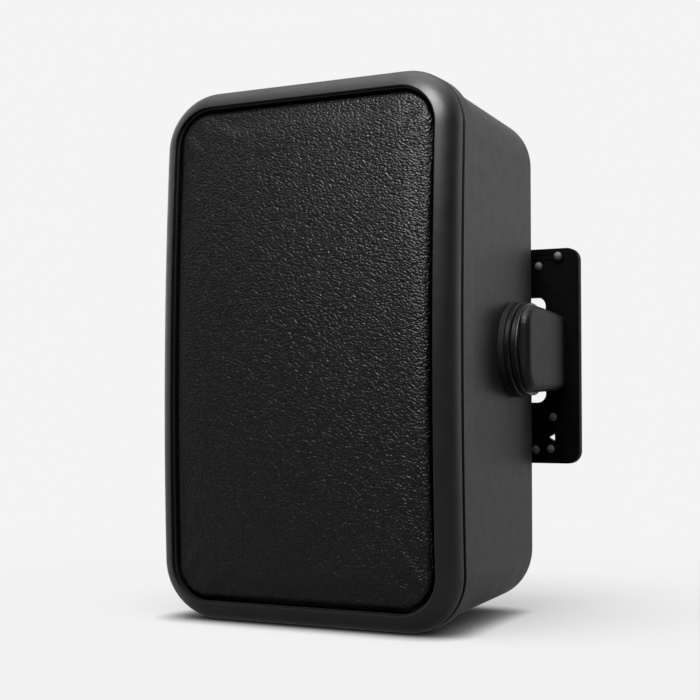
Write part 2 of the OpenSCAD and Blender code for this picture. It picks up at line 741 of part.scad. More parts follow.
// The crossover: a board on four posts with coils, capacitors and a resistor
board_t = 1.6;
board_y = rear_inner - board_post - board_t;
function board_posts() = [for (x = [-1, 1], z = [-1, 1])
    [x * (board_w / 2 - 5), board_z + z * (board_h / 2 - 5)]];
module crossover_board() {
    color([0.1, 0.3, 0.16])
    difference() {
        translate([0, 0, board_z]) slab(board_w, board_h, 3, board_y, board_t);
        for (p = board_posts())
            face_front(p[0], board_y + board_t + over, p[1])
                cylinder(r = 1.5, h = board_t + 2 * over, $fn = 32);
    }
}
module crossover_inductors() {
    color([0.72, 0.45, 0.2])
        for (p = [[-22, 11, 11], [24, -8, 9]])
            face_front(p[0], board_y - seat, board_z + p[1]) union() {
                tube(p[2], 5, 12);
                tube(p[2] + 1.2, 4.5, 1);
                translate([0, 0, 11.5]) tube(p[2] + 1.2, 4.5, 1);
            }
}
module crossover_capacitors() {
    color([0.55, 0.12, 0.1])
        for (p = [[-6, 16, 5], [-14, -4, 4]])
            face_right(p[0], board_y - p[2] - seat, board_z + p[1]) union() {
                cylinder(r = p[2], h = 22);
                translate([0, 0, -3]) cylinder(r = 0.5, h = 28, $fn = 16);
            }
}
module crossover_resistor() {
    color([0.85, 0.83, 0.78])
        translate([-30, board_y - 7 - seat, board_z - 18]) union() {
            cube([30, 7, 8]);
            translate([-3, 3.5, 4]) rotate([0, 90, 0]) cylinder(r = 0.5, h = 36, $fn = 16);
        }
}
module crossover_screws() {
    color([0.3, 0.3, 0.32])
        for (p = board_posts()) pan_screw(p[0], board_y - 0.02, p[1], 1.0, 7, 2.4, 1.6);
}

// The recessed terminal cup and its two binding posts
function cup_screws() = [for (x = [-1, 1], z = [-1, 1])
    [-cup_x + x * (cup_w / 2 + cup_wall + 0.6 * cup_flange), cup_z + z * (cup_h / 2 - 2)]];
function posts_x() = [-cup_x - post_dx / 2, -cup_x + post_dx / 2];
base_t = 2.4;
post_y0 = cup_inner_y;
module face_back(x, y, z) {
    translate([x, y, z]) rotate([-90, 0, 0]) children();
}
module terminal_cup() {
    w = cup_w + 2 * cup_wall;
    h = cup_h + 2 * cup_wall;
    color([0.09, 0.09, 0.09])
    difference() {
        translate([-cup_x, 0, cup_z]) union() {
            slab(w, h, 5, cup_inner_y - cup_wall, cup_d + cup_wall + seat + cup_flange_t);
            slab(w + 2 * cup_flange, h, 5, cab_depth + seat, cup_flange_t);
        }
        translate([-cup_x, 0, cup_z]) slab(cup_w, cup_h, 3, cup_inner_y, cup_d + 10);
        for (x = posts_x())
            face_front(x, cup_inner_y + over, cup_z) cylinder(r = post_r + seat, h = 10, $fn = 48);
        for (p = cup_screws())
            face_front(p[0], cab_depth + 10, p[1]) cylinder(r = 1.5, h = 20, $fn = 32);
    }
}
module terminal_base(i, c) {
    color(c) face_back(posts_x()[i], post_y0 + seat, cup_z) tube(post_cap_r + 1, post_r + seat, base_t);
}
module terminal_base_red() { terminal_base(1, [0.6, 0.04, 0.04]); }
module terminal_base_black() { terminal_base(0, [0.05, 0.05, 0.05]); }
module terminal_posts() {
    color([0.8, 0.65, 0.3])
        for (x = posts_x()) face_back(x, post_y0 - 9, cup_z) difference() {
            cylinder(r = post_r, h = 9 + base_t + post_cap_l);
            translate([0, 0, 9 + base_t + post_cap_l - socket_l]) cylinder(r = socket_r, h = socket_l + over);
        }
}
// A fluted cap that turns on its post
module terminal_cap(i, c) {
    flutes = 12;
    color(c) face_back(posts_x()[i], post_y0 + base_t + 2 * seat + 0.2, cup_z) difference() {
        cylinder(r = post_cap_r, h = post_cap_l);
        translate([0, 0, -over]) cylinder(r = post_r + shaft_fit, h = post_cap_l + 2 * over);
        for (k = [0 : flutes - 1]) rotate([0, 0, 360 * k / flutes])
            translate([post_cap_r + 0.5, 0, 1.5]) cylinder(r = 1, h = post_cap_l, $fn = 24);
    }
}
module terminal_cap_red() { terminal_cap(1, [0.65, 0.04, 0.04]); }
module terminal_cap_black() { terminal_cap(0, [0.05, 0.05, 0.05]); }
module terminal_nuts() {
    color([0.75, 0.75, 0.77])
        for (x = posts_x()) face_front(x, cup_inner_y - cup_wall - seat, cup_z) difference() {
            cylinder(r = 4.6, h = 3, $fn = 6);
            translate([0, 0, -over]) cylinder(r = post_r + seat / 2, h = 5);
        }
}
module terminal_screws() {
    color([0.25, 0.25, 0.27])
        for (p = cup_screws()) mirror([0, 1, 0])
            pan_screw(p[0], -(cab_depth + cup_flange_t + seat + 0.02), p[1], 1.2, 8, 2.4, 1.6);
}

// A sheet of wadding along the left wall
module wadding() {
    depth = rear_inner - lip_back;
    color([0.85, 0.85, 0.82])
        translate([-side_inner + side_taper + 4 * seat, lip_back + depth / 7, cab_h / 40])
            cube([side_inner * 3 / 16, depth * 5 / 7, cab_h * 0.27]);
}

// A round wire swept along a list of places
function unit(v) = v / max(norm(v), 0.0001);
module wire(path, r) {
    n = len(path);
    sides = 8;
    function along(i) = unit(path[min(i + 1, n - 1)] - path[max(i - 1, 0)]);
    function across(i) = let (t = along(i), u = abs(t[2]) > 0.9 ? [1, 0, 0] : [0, 0, 1])
        unit(cross(u, t));
    pts = [for (i = [0 : n - 1]) let (t = along(i), a = across(i), b = cross(t, a))
        each [for (k = [0 : sides - 1]) path[i] + r * (cos(360 * k / sides) * a + sin(360 * k / sides) * b)]];
    polyhedron(points = pts, faces = concat(
        [[for (k = [0 : sides - 1]) k]],
        [[for (k = [sides - 1 : -1 : 0]) (n - 1) * sides + k]],
        [for (i = [0 : n - 2], k = [0 : sides - 1]) let (m = (k + 1) % sides)
            each [[i * sides + m, i * sides + k, (i + 1) * sides + m],
                  [(i + 1) * sides + m, i * sides + k, (i + 1) * sides + k]]]));
}
// A smooth path through the middle of four control places
function bez(p, n) = [for (k = [0 : n]) let (s = k / n, u = 1 - s)
    u * u * u * p[0] + 3 * u * u * s * p[1] + 3 * u * s * s * p[2] + s * s * s * p[3]];
wire_r = 0.9;
wire_end_y = board_y - wire_r;
wire_end_z = board_z - board_h / 2 + 3;
module input_wires() {
    left = -side_inner + 14;
    color([0.55, 0.05, 0.05])
    for (i = [0, 1])
        wire(bez([[posts_x()[i], cup_inner_y - cup_wall - 9, cup_z],
            [left + 6 * i, cup_inner_y - 22 - 8 * i, cup_z],
            [left + 6 * i, cup_inner_y - 12 - 8 * i, 20],
            [-31 + 4 * i, wire_end_y, wire_end_z]], 12), wire_r);
}
wire_pitch = 4;
module woofer_wires() {
    color([0.1, 0.1, 0.1])
    for (i = [0, 1])
        wire(bez([[-woofer_cut_r + 9, baffle_y + 27 + wire_pitch * i, woofer_z],
            [-woofer_cut_r + 5, baffle_y + 40 + wire_pitch * i, woofer_z + 30],
            [-20 + 1.5 * wire_pitch * i, baffle_y + 30, 20],
            [-20 + 1.5 * wire_pitch * i, wire_end_y, wire_end_z]], 12), wire_r);
}
module tweeter_wires() {
    tweeter_back = baffle_y - tweeter_top_h + tweeter_plate_t + tweeter_magnet_t + 3;
    color([0.1, 0.1, 0.1])
    for (i = [0, 1])
        wire(bez([
            [-4 + 1.5 * wire_pitch * i, tweeter_back + wire_r, tweeter_z - 4],
            [-4 + 1.5 * wire_pitch * i, tweeter_back + 16, tweeter_z - 12],
            [-4 + 1.5 * wire_pitch * i, wire_end_y - 16, board_z - 2],
            [-4 + 1.5 * wire_pitch * i, wire_end_y, board_z + 5]], 10), wire_r);
}

// The tilt pivot at the right side
module pivot_bush() {
    color([0.75, 0.73, 0.65])
    face_right(bush_x1 - bush_l, pivot_y, pivot_z) difference() {
        union() {
            cylinder(r = bush_r, h = bush_l);
            translate([0, 0, bush_l]) cylinder(r = bush_r + 3, h = bush_flange);
        }
        translate([0, 0, -over]) cylinder(r = shaft_r + shaft_fit, h = bush_l + 20);
    }
}
module rubber_ring() {
    color([0.02, 0.02, 0.02])
        face_right(ring_x0, pivot_y, pivot_z) tube(rubber_r, bush_r, rubber_t - seat);
}
collar_r = rubber_r - collar_step;
pivot_ring_r = collar_r - 0.6;
bright_ring_r = pivot_ring_r;
fixed_r = shaft_r + seat / 2;
module pivot_collar() {
    chamfer = 0.5;
    color([0.09, 0.09, 0.095])
        face_right(collar_x0, pivot_y, pivot_z) rotate_extrude() polygon([[bush_r, 0],
            [collar_r - chamfer, 0], [collar_r, chamfer], [collar_r, collar_t - chamfer],
            [collar_r - chamfer, collar_t], [bush_r, collar_t]]);
}
module pivot_ring() {
    chamfer = 0.4;
    t = arm_ring_t - seat;
    color([0.07, 0.07, 0.075])
        face_right(arm_ring_x0, pivot_y, pivot_z) rotate_extrude() polygon([[fixed_r, 0],
            [pivot_ring_r - chamfer, 0], [pivot_ring_r, chamfer], [pivot_ring_r, t - chamfer],
            [pivot_ring_r - chamfer, t], [fixed_r, t]]);
}
module bright_ring() {
    color([0.3, 0.3, 0.31])
        face_right(bright_x0, pivot_y, pivot_z) tube(bright_ring_r, fixed_r, bright_t - seat);
}
shaft_x0 = bush_x1 - bush_l - spring_t - nut_t - 1.5;
module pivot_shaft() {
    color([0.7, 0.7, 0.72])
    face_right(shaft_x0, pivot_y, pivot_z) union() {
        cylinder(r = shaft_r, h = arm_x0 + arm_t / 2 - shaft_x0);
        translate([0, 0, arm_x0 - shaft_x0]) cylinder(r = shaft_r + 2, h = arm_t / 2);
    }
}
module spring_washer() {
    color([0.7, 0.7, 0.72])
        face_right(bush_x1 - bush_l - spring_t - turn_gap, pivot_y, pivot_z)
            tube(shaft_r + 4.5, shaft_r, spring_t);
}
module pivot_nut() {
    color([0.7, 0.7, 0.72])
    face_right(bush_x1 - bush_l - spring_t - turn_gap - nut_t, pivot_y, pivot_z) difference() {
        cylinder(r = shaft_r * 1.75, h = nut_t - seat, $fn = 6);
        translate([0, 0, -over]) cylinder(r = shaft_r, h = nut_t + 2 * over);
    }
}

// The arm: a round inner side that flares to a flat face with round corners. Behind
// the pivot it leans inwards to the wall plate. It is a skin through levels that go
// outwards; each level is a list of places from the root's top, round the front, to
// the root's bottom.
arm_straights = 6;
arm_arcs = 9;
arm_edges = 6;
arm_straight = rubber_r + 1;
arm_root_y = web_y - seat;
inner_corner = arm_r - 0.8;
function arm_share(y) = max(0, (y - pivot_y) / (arm_root_y - pivot_y));
function arm_outer(y) = arm_x1 - arm_lean * pow(arm_share(y), 1.5);
function arm_inner(y) = arm_x0 - arm_lean
    * max(0, (y - pivot_y - arm_straight) / (arm_root_y - pivot_y - arm_straight));
function arm_half(y) = arm_r + (arm_root_h / 2 - arm_r) * arm_share(y);
function arm_top(corner, inset) = concat(
    [for (k = [0 : arm_straights]) let (y = arm_root_y + (pivot_y - arm_root_y) * k / arm_straights)
        [y, arm_half(y) - inset]],
    [for (k = [0 : arm_arcs]) let (t = 90 * k / arm_arcs)
        [pivot_y + corner - arm_r - (corner - inset) * sin(t),
            arm_r - corner + (corner - inset) * cos(t)]]);
function both_halves(top) = concat(top, [for (k = [len(top) - 1 : -1 : 0]) [top[k][0], -top[k][1]]]);
function arm_level(j) = let (a = 90 * (j - 1) / arm_edges)
    j == 0 ? [for (p = both_halves(arm_top(inner_corner, 0))) [arm_inner(p[0]), p[0], p[1]]]
    : [for (p = both_halves(arm_top(arm_corner, arm_edge * (1 - cos(a)))))
        [arm_outer(p[0]) - arm_edge * (1 - sin(a)), p[0], p[1]]];
module arm_body() {
    levels = arm_edges + 1;
    n = 2 * (arm_straights + arm_arcs + 2);
    last = levels * n;
    translate([0, 0, pivot_z]) polyhedron(
        points = [for (j = [0 : levels]) each arm_level(j)],
        faces = concat(
            [for (j = [0 : levels - 1], i = [0 : n - 2]) let (c = j * n + i)
                each [[c, c + n, c + n + 1], [c, c + n + 1, c + 1]]],
            [for (i = [0 : n / 2 - 2]) [i, i + 1, n - i - 2, n - i - 1]],
            [for (i = [0 : n / 2 - 2]) [last + i + 1, last + i, last + n - i - 1, last + n - i - 2]],
            [concat([for (j = [levels : -1 : 0]) j * n], [for (j = [0 : levels]) j * n + n - 1])]));
}
arm_screw_r = 1.2;
arm_screw_grip = 5;
function arm_screw_places() = [for (z = [-1, 1])
    [arm_x1 - arm_lean - arm_t / 2 + arm_screw_r / 4, pivot_z + z * arm_root_h / 3.5]];
module bracket_arm() {
    color([0.11, 0.11, 0.115])
    difference() {
        union() {
            arm_body();
            face_right(arm_x0 - neck_t, pivot_y, pivot_z)
                cylinder(r = arm_r - 2.1, h = neck_t + seat);
        }
        face_right(arm_x0 - neck_t - over, pivot_y, pivot_z)
            cylinder(r = fixed_r, h = neck_t + 2 * over);
        face_right(arm_x0, pivot_y, pivot_z) cylinder(r = fixed_r + 2, h = arm_t / 2);
        for (p = arm_screw_places())
            face_front(p[0], web_y, p[1])
                cylinder(r = arm_screw_r + seat / 2, h = arm_screw_grip + over, $fn = 32);
    }
}
module arm_screws() {
    sink = 0.4;
    color([0.3, 0.3, 0.32])
        for (p = arm_screw_places()) face_front(p[0], wall_y - sink, p[1]) union() {
            cylinder(r1 = 3, r2 = arm_screw_r, h = 1.6);
            cylinder(r = arm_screw_r, h = web_t - sink + arm_screw_grip);
        }
}

plate_edge = 0.6;
// The wall plate: a rim, a stepped border, a beaded window, a boss and a small arrow
module wall_plate() {
    zc = pivot_z - plate_drop;
    border_y = web_y - border_h;
    color([0.03, 0.03, 0.032])
    difference() {
        union() {
            difference() {
                translate([plate_cx, 0, zc]) union() {
                    slab(plate_w, plate_h, plate_r, rim_y + plate_edge, plate_d - plate_edge);
                    slab(plate_w - plate_edge, plate_h - plate_edge, plate_r - plate_edge / 2,
                        rim_y + plate_edge / 4, plate_d - plate_edge / 4);
                    slab(plate_w - 2 * plate_edge, plate_h - 2 * plate_edge, plate_r - plate_edge,
                        rim_y, plate_d);
                }
                translate([plate_cx, 0, zc])
                    slab(plate_w - 2 * rim_t, plate_h - 2 * rim_t, plate_r - rim_t / 2, rim_y - over,
                        border_y - rim_y + over);
                translate([plate_cx, 0, zc])
                    slab(plate_w - 2 * border_w, plate_h - 2 * border_w, plate_r - 1, rim_y - over,
                        web_y - rim_y + over);
            }
            translate([window_cx, 0, zc + window_rise])
                slab(window_w + 2 * bead, window_h + 2 * bead, window_r + bead, web_y - bead_h,
                    bead_h + web_t / 2);
            for (p = rivet_places())
                face_front(p[0], web_y + web_t / 2, p[1])
                    cylinder(r = rivet_boss_r, h = web_y + web_t / 2 - rivet_seat(p));
        }
        translate([window_cx, 0, zc + window_rise])
            slab(window_w, window_h, window_r, rim_y - over, plate_d + 2 * over);
        for (p = wall_holes())
            face_front(p[0], wall_y + over, p[1]) cylinder(r = hole_r, h = plate_d + 2 * over);
        for (p = arm_screw_places())
            face_front(p[0], wall_y + over, p[1]) {
                cylinder(r = arm_screw_r + seat, h = plate_d + 2 * over, $fn = 32);
                translate([0, 0, over]) cylinder(r1 = 3.6, r2 = arm_screw_r + seat, h = 2.1);
            }
        for (p = rivet_places())
            face_front(p[0], wall_y - 1, p[1])
                cylinder(r = rivet_shank_r + seat, h = plate_d + over, $fn = 32);
        translate([arrow_place[0], wall_y + over, arrow_place[1]]) rotate([90, 0, 0])
            linear_extrude(plate_d + 2 * over) polygon([[-2.4, 0], [1.6, -2.2], [1.6, 2.2]]);
    }
}
function wall_holes() = [for (x = [-1, 1], z = [-1, 1])
    [plate_cx + x * hole_dx / 2, pivot_z - plate_drop + z * hole_dz / 2]];
// Small domed screws: distance from the plate's right edge and height
function rivet_places() = [for (p = [[21.9, 47.2], [11.1, 52], [14.3, -32], [15.4, -48.5], [23.5, -49]])
    [plate_x1 - p[0], pivot_z - plate_drop + p[1]]];
arrow_place = [plate_x1 - 15.1, pivot_z - plate_drop - 42.5];
rivet_boss_r = 3.2;
rivet_shank_r = 1.1;
dome_head_r = 2.1;
// A boss that meets the border stands as high as the rim
function rivet_seat(p) = abs(p[1] - pivot_z + plate_drop) + rivet_boss_r > plate_h / 2 - border_w
    ? rim_y : web_y - bead_h / 2;
module plate_screws() {
    ball = dome_head_r + 0.3;
    color([0.55, 0.55, 0.56])
        for (p = rivet_places())
            face_front(p[0], rivet_seat(p) - seat / 2, p[1]) union() {
                intersection() {
                    translate([0, 0, -ball / 2]) sphere(ball, $fn = 48);
                    cylinder(r = dome_head_r, h = ball);
                }
                translate([0, 0, -2]) cylinder(r = rivet_shank_r, h = 2.5, $fn = 32);
            }
}

// The whole speaker is drawn about the cabinet's middle and then moved, so that the
// origin is the centre of the wall holes on the back of the wall plate
module placed() {
    translate([-plate_cx, -wall_y, -(pivot_z - plate_drop)]) children();
}

placed() cabinet_shell();
placed() seam_gasket();
placed() front_baffle();
placed() baffle_screws();
placed() front_bezel();
placed() grille_frame();
placed() front_cover();
placed() woofer_basket();
placed() woofer_trim_ring();
placed() woofer_surround();
placed() woofer_cone();
placed() woofer_dust_cap();
placed() woofer_voice_coil();
placed() woofer_spider();
placed() woofer_top_plate();
placed() woofer_magnet();
placed() woofer_yoke();
placed() woofer_screws();
placed() tweeter_faceplate();
placed() tweeter_dome();
placed() tweeter_voice_coil();
placed() tweeter_top_plate();
placed() tweeter_magnet();
placed() tweeter_yoke();
placed() tweeter_screws();
placed() crossover_board();
placed() crossover_inductors();
placed() crossover_capacitors();
placed() crossover_resistor();
placed() crossover_screws();
placed() terminal_cup();
placed() terminal_base_red();
placed() terminal_base_black();
placed() terminal_posts();
placed() terminal_cap_red();
placed() terminal_cap_black();
placed() terminal_nuts();
placed() terminal_screws();
placed() wadding();
placed() input_wires();
placed() woofer_wires();
placed() tweeter_wires();
placed() pivot_bush();
placed() rubber_ring();
placed() pivot_collar();
placed() pivot_ring();
placed() bright_ring();
placed() pivot_shaft();
placed() spring_washer();
placed() pivot_nut();
placed() bracket_arm();
placed() arm_screws();
placed() wall_plate();
placed() plate_screws();
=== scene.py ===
# %% [markdown]
# # Dressing a wall speaker
# The solids of this small wall speaker come ready made: a moulded cabinet, a front bezel, the
# drivers inside, and a bracket with a wall plate. This file gives them their looks, one step at a
# time. The solids stay where they are, so each new piece takes its place and its size from them.

import math

import bmesh
import bpy
from mathutils import Matrix, Vector


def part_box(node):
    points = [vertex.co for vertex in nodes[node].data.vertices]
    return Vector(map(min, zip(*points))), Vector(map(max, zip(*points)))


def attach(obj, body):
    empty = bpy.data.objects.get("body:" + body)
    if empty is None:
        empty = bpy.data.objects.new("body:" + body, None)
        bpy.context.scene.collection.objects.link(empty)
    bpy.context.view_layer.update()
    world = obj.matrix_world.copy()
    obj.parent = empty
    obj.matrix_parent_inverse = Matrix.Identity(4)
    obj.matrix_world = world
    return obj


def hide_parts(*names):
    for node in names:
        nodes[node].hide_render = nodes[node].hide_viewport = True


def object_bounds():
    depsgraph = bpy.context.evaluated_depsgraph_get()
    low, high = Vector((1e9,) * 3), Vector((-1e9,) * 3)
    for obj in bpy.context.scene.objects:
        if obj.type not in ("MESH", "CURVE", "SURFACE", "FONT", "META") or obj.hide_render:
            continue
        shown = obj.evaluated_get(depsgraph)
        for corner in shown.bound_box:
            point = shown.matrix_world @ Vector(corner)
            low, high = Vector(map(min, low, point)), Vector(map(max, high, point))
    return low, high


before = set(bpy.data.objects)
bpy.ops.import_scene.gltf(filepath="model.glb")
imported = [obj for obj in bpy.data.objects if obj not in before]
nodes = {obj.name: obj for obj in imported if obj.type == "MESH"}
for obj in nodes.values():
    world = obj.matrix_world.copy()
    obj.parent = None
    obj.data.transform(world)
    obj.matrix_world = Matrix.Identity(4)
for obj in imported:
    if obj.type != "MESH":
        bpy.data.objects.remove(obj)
solid_low, solid_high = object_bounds()
mm = 0.001
print("solids:", len(nodes), "size in mm:", [round(s / mm, 1) for s in solid_high - solid_low])

# %% [markdown]
# ## One ruler for the whole file
# The cabinet is drawn about the middle of its front plane, which is the handiest place to count
# from. The bezel's solid says where that middle is, and how wide and tall the cabinet is. The
# smaller sizes are those of the mould: how far each edge is set in, how round it is, and how much
# the front bows forward at mid height.

# %% Sizes of the cabinet
bow_height = 4.5 * mm
corner_round = 28 * mm
bezel_depth = 12.5 * mm
bezel_round = 14 * mm
bezel_border = 8.6 * mm
seam = 3 * mm
lip_depth = 8 * mm
lip_step = 1.7 * mm
wall = 3.4 * mm
rear_round = 4 * mm

bezel_low, bezel_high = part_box("front_bezel")
shell_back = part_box("cabinet_shell")[1].y
cabinet_w = bezel_high.x - bezel_low.x
cabinet_h = bezel_high.z - bezel_low.z
middle = Vector((
    (bezel_low.x + bezel_high.x) / 2,
    bezel_low.y + bow_height,
    (bezel_low.z + bezel_high.z) / 2,
))
cabinet_depth = shell_back - middle.y
print("cabinet in mm:", [round(s / mm, 1) for s in (cabinet_w, cabinet_depth, cabinet_h)])


def bow(height):
    """How far the front bulges at a height above the middle, towards -Y, where it faces."""
    return -bow_height * max(0.0, 1 - (2 * height / cabinet_h) ** 2)


# %% [markdown]
# ## The camera
# The picture was taken with a short telephoto lens, from low down and to the right of the front. A
# camera is placed by its position and by three turns: how far it looks to the side, how far up, and
# how far it leans.

# %% Place the camera
camera_from_middle = Vector((331.3, -583.6, -31.4)) * mm
look_left = 0.4803
look_up = 0.0474
lean = 0.0016
sensor_width = 36
picture_width = 700
focal_pixels = 1423.9

ahead = Vector((
    -math.sin(look_left) * math.cos(look_up),
    math.cos(look_left) * math.cos(look_up),
    math.sin(look_up),
))
level_right = Vector((math.cos(look_left), math.sin(look_left), 0))
level_up = level_right.cross(ahead)
right = math.cos(lean) * level_right + math.sin(lean) * level_up
up = math.cos(lean) * level_up - math.sin(lean) * level_right

camera_data = bpy.data.cameras.new("camera")
camera_data.sensor_width = sensor_width
camera_data.lens = focal_pixels * sensor_width / picture_width
camera = bpy.data.objects.new("camera", camera_data)
turned = Matrix((right, up, -ahead)).transposed().to_4x4()
camera.matrix_world = Matrix.Translation(middle + camera_from_middle) @ turned
bpy.context.scene.collection.objects.link(camera)
bpy.context.scene.camera = camera
print("lens in mm:", round(camera_data.lens, 1))

# %% [markdown]
# ## Small helpers for materials
# A finish is a short tree of shader nodes. Three patterns come back in nearly every one: a slow
# drift of the colour or the gloss, a fine grain that only bends the light, and a value that is the
# same all over. The last is written on the shader's own socket.


# %% Helpers for materials
noise_low = 0.3
noise_high = 0.7


def shader_material(name, colour, roughness, **sockets):
    """A new material, with plain values on its Principled shader."""
    material = bpy.data.materials.new(name)
    material.use_nodes = True
    shader = material.node_tree.nodes["Principled BSDF"]
    shader.inputs["Base Color"].default_value = (*colour, 1)
    shader.inputs["Roughness"].default_value = roughness
    for socket, value in sockets.items():
        shader.inputs[socket.replace("_", " ")].default_value = value
    return material, material.node_tree, shader


def add(tree, kind, **inputs):
    """A new shader node with some of its sockets set or linked."""
    node = tree.nodes.new(kind)
    for name, value in inputs.items():
        socket = node.inputs[name.replace("_", " ")]
        if isinstance(value, bpy.types.NodeSocket):
            tree.links.new(value, socket)
        else:
            socket.default_value = value
    return node


def place(tree, stretch=(1, 1, 1)):
    """Coordinates fixed to the piece, in metres, times a factor for each axis."""
    coordinates = tree.nodes.new("ShaderNodeTexCoord")
    mapping = add(tree, "ShaderNodeMapping", Scale=stretch, Vector=coordinates.outputs["Object"])
    return mapping.outputs["Vector"]


def drift(tree, where, scale, low, high, detail=3.0):
    """A number that wanders between low and high over the piece."""
    noise = add(tree, "ShaderNodeTexNoise", Vector=where, Scale=scale, Detail=detail)
    spread = add(tree, "ShaderNodeMapRange", Value=noise.outputs["Fac"])
    spread.inputs["From Min"].default_value = noise_low
    spread.inputs["From Max"].default_value = noise_high
    spread.inputs["To Min"].default_value = low
    spread.inputs["To Max"].default_value = high
    return spread.outputs["Result"]


def two_tones(tree, amount, dark, light):
    """A colour between two tones, by a number from 0 to 1."""
    mix = tree.nodes.new("ShaderNodeMix")
    mix.data_type = "RGBA"
    tree.links.new(amount, mix.inputs["Factor"])
    mix.inputs["A"].default_value = (*dark, 1)
    mix.inputs["B"].default_value = (*light, 1)
    return mix.outputs["Result"]


def bump(tree, shader, height, distance):
    """Bends the light as if the surface rose by height times distance, in metres."""
    node = add(tree, "ShaderNodeBump", Height=height, Distance=distance)
    tree.links.new(node.outputs["Normal"], shader.inputs["Normal"])


def moulded(name, colour, roughness, grain=0.25 * mm, depth=0.01 * mm, **sockets):
    """Moulded plastic: one tone that drifts a little, with a fine spark-eroded grain."""
    tone_patches = 60
    gloss_patches = 140
    material, tree, shader = shader_material(name, colour, roughness, **sockets)
    where = place(tree)
    dark = [c * 0.92 for c in colour]
    light = [c * 1.08 for c in colour]
    tone = two_tones(tree, drift(tree, where, tone_patches, 0, 1), dark, light)
    gloss = drift(tree, where, gloss_patches, roughness - 0.03, roughness + 0.04)
    tree.links.new(tone, shader.inputs["Base Color"])
    tree.links.new(gloss, shader.inputs["Roughness"])
    bump(tree, shader, drift(tree, where, 1 / grain, 0, 1, 2.0), depth)
    return material


# %% [markdown]
# ## Finishes
# The case is moulded in charcoal plastic with a satin face. The bezel is the same plastic, a touch
# darker. The bracket is darker still. Small metal and rubber parts each get their own tree, and
# so do the parts that sit inside, such as the paper cone and the ferrite magnets, because someone
# may take the speaker apart.

# %% Finishes of the case and the bracket
case_grain = 0.35 * mm
case_plastic = moulded("case plastic", (0.019, 0.019, 0.0197), 0.42, grain=case_grain,
                       depth=0.006 * mm, Specular_IOR_Level=0.3)
bezel_plastic = moulded("bezel plastic", (0.016, 0.016, 0.0167), 0.42, grain=case_grain,
                        depth=0.012 * mm, Specular_IOR_Level=0.3)
gasket_rubber = moulded("gasket rubber", (0.006, 0.006, 0.006), 0.85, grain=0.5 * mm,
                        Specular_IOR_Level=0.2)
inner_plastic = moulded("inner plastic", (0.03, 0.03, 0.03), 0.55)
arm_plastic = moulded("arm plastic", (0.009, 0.009, 0.0093), 0.45, grain=0.4 * mm,
                      Specular_IOR_Level=0.16)
ring_plastic = moulded("ring plastic", (0.007, 0.007, 0.0073), 0.4, Specular_IOR_Level=0.25)
ring_rubber = moulded("ring rubber", (0.004, 0.004, 0.004), 0.7, grain=0.5 * mm,
                      Specular_IOR_Level=0.2)
plate_paint = moulded("plate paint", (0.0022, 0.0022, 0.0023), 0.45, grain=0.5 * mm,
                      depth=0.02 * mm, Specular_IOR_Level=0.06)
red_plastic = moulded("red plastic", (0.5, 0.02, 0.02), 0.3)
black_plastic = moulded("black plastic", (0.02, 0.02, 0.02), 0.35)
bush_plastic = moulded("bush plastic", (0.7, 0.68, 0.6), 0.4)
red_wire = moulded("red wire", (0.5, 0.03, 0.03), 0.35)
resistor_body = moulded("resistor body", (0.78, 0.76, 0.7), 0.6)
capacitor_film = moulded("capacitor film", (0.5, 0.05, 0.04), 0.25, grain=1.5 * mm, depth=0.03 * mm)
ferrite = moulded("ferrite", (0.06, 0.06, 0.065), 0.6, grain=0.6 * mm, depth=0.03 * mm)
print("moulded finishes:", len(bpy.data.materials))


# %% Finishes of the small parts
def metal(name, colour, roughness, brushed=(1, 1, 1), depth=0.004 * mm):
    """Metal with fine streaks, which run along the axis where brushed is small."""
    streaks_in_metre = 900
    gloss_patches = 200
    material, tree, shader = shader_material(name, colour, roughness, Metallic=1.0)
    streaks = drift(tree, place(tree, brushed), streaks_in_metre, 0, 1, 4.0)
    tone = two_tones(tree, streaks, [c * 0.85 for c in colour], colour)
    gloss = drift(tree, place(tree), gloss_patches, roughness - 0.05, roughness + 0.07)
    tree.links.new(tone, shader.inputs["Base Color"])
    tree.links.new(gloss, shader.inputs["Roughness"])
    bump(tree, shader, streaks, depth)
    return material


black_steel = metal("black steel", (0.12, 0.12, 0.125), 0.35)
bright_steel = metal("bright steel", (0.55, 0.55, 0.57), 0.32)
pole_steel = metal("pole steel", (0.5, 0.51, 0.53), 0.4, (1, 0.1, 1))
basket_metal = moulded("basket metal", (0.05, 0.05, 0.055), 0.45, grain=0.8 * mm, depth=0.03 * mm)
ring_metal = metal("ring metal", (0.11, 0.11, 0.113), 0.4, (1, 0.05, 0.05))
rivet_steel = moulded("dull rivet steel", (0.19, 0.19, 0.193), 0.75, Metallic=0.2)
brass = metal("brass", (0.8, 0.6, 0.25), 0.25)
copper = metal("copper wire", (0.72, 0.4, 0.2), 0.35, (0.1, 1, 0.1), 0.03 * mm)
surround_rubber = moulded("surround rubber", (0.015, 0.015, 0.015), 0.55, grain=0.7 * mm)


def fibrous(name, colour, roughness, grain, depth, **sockets):
    """Paper, silk or wool: fine fibres that catch the light."""
    material, tree, shader = shader_material(name, colour, roughness, **sockets)
    where = place(tree)
    fibres = drift(tree, where, 1 / grain, 0, 1, 8.0)
    tone = two_tones(tree, fibres, [c * 0.75 for c in colour], colour)
    tree.links.new(tone, shader.inputs["Base Color"])
    bump(tree, shader, fibres, depth)
    return material


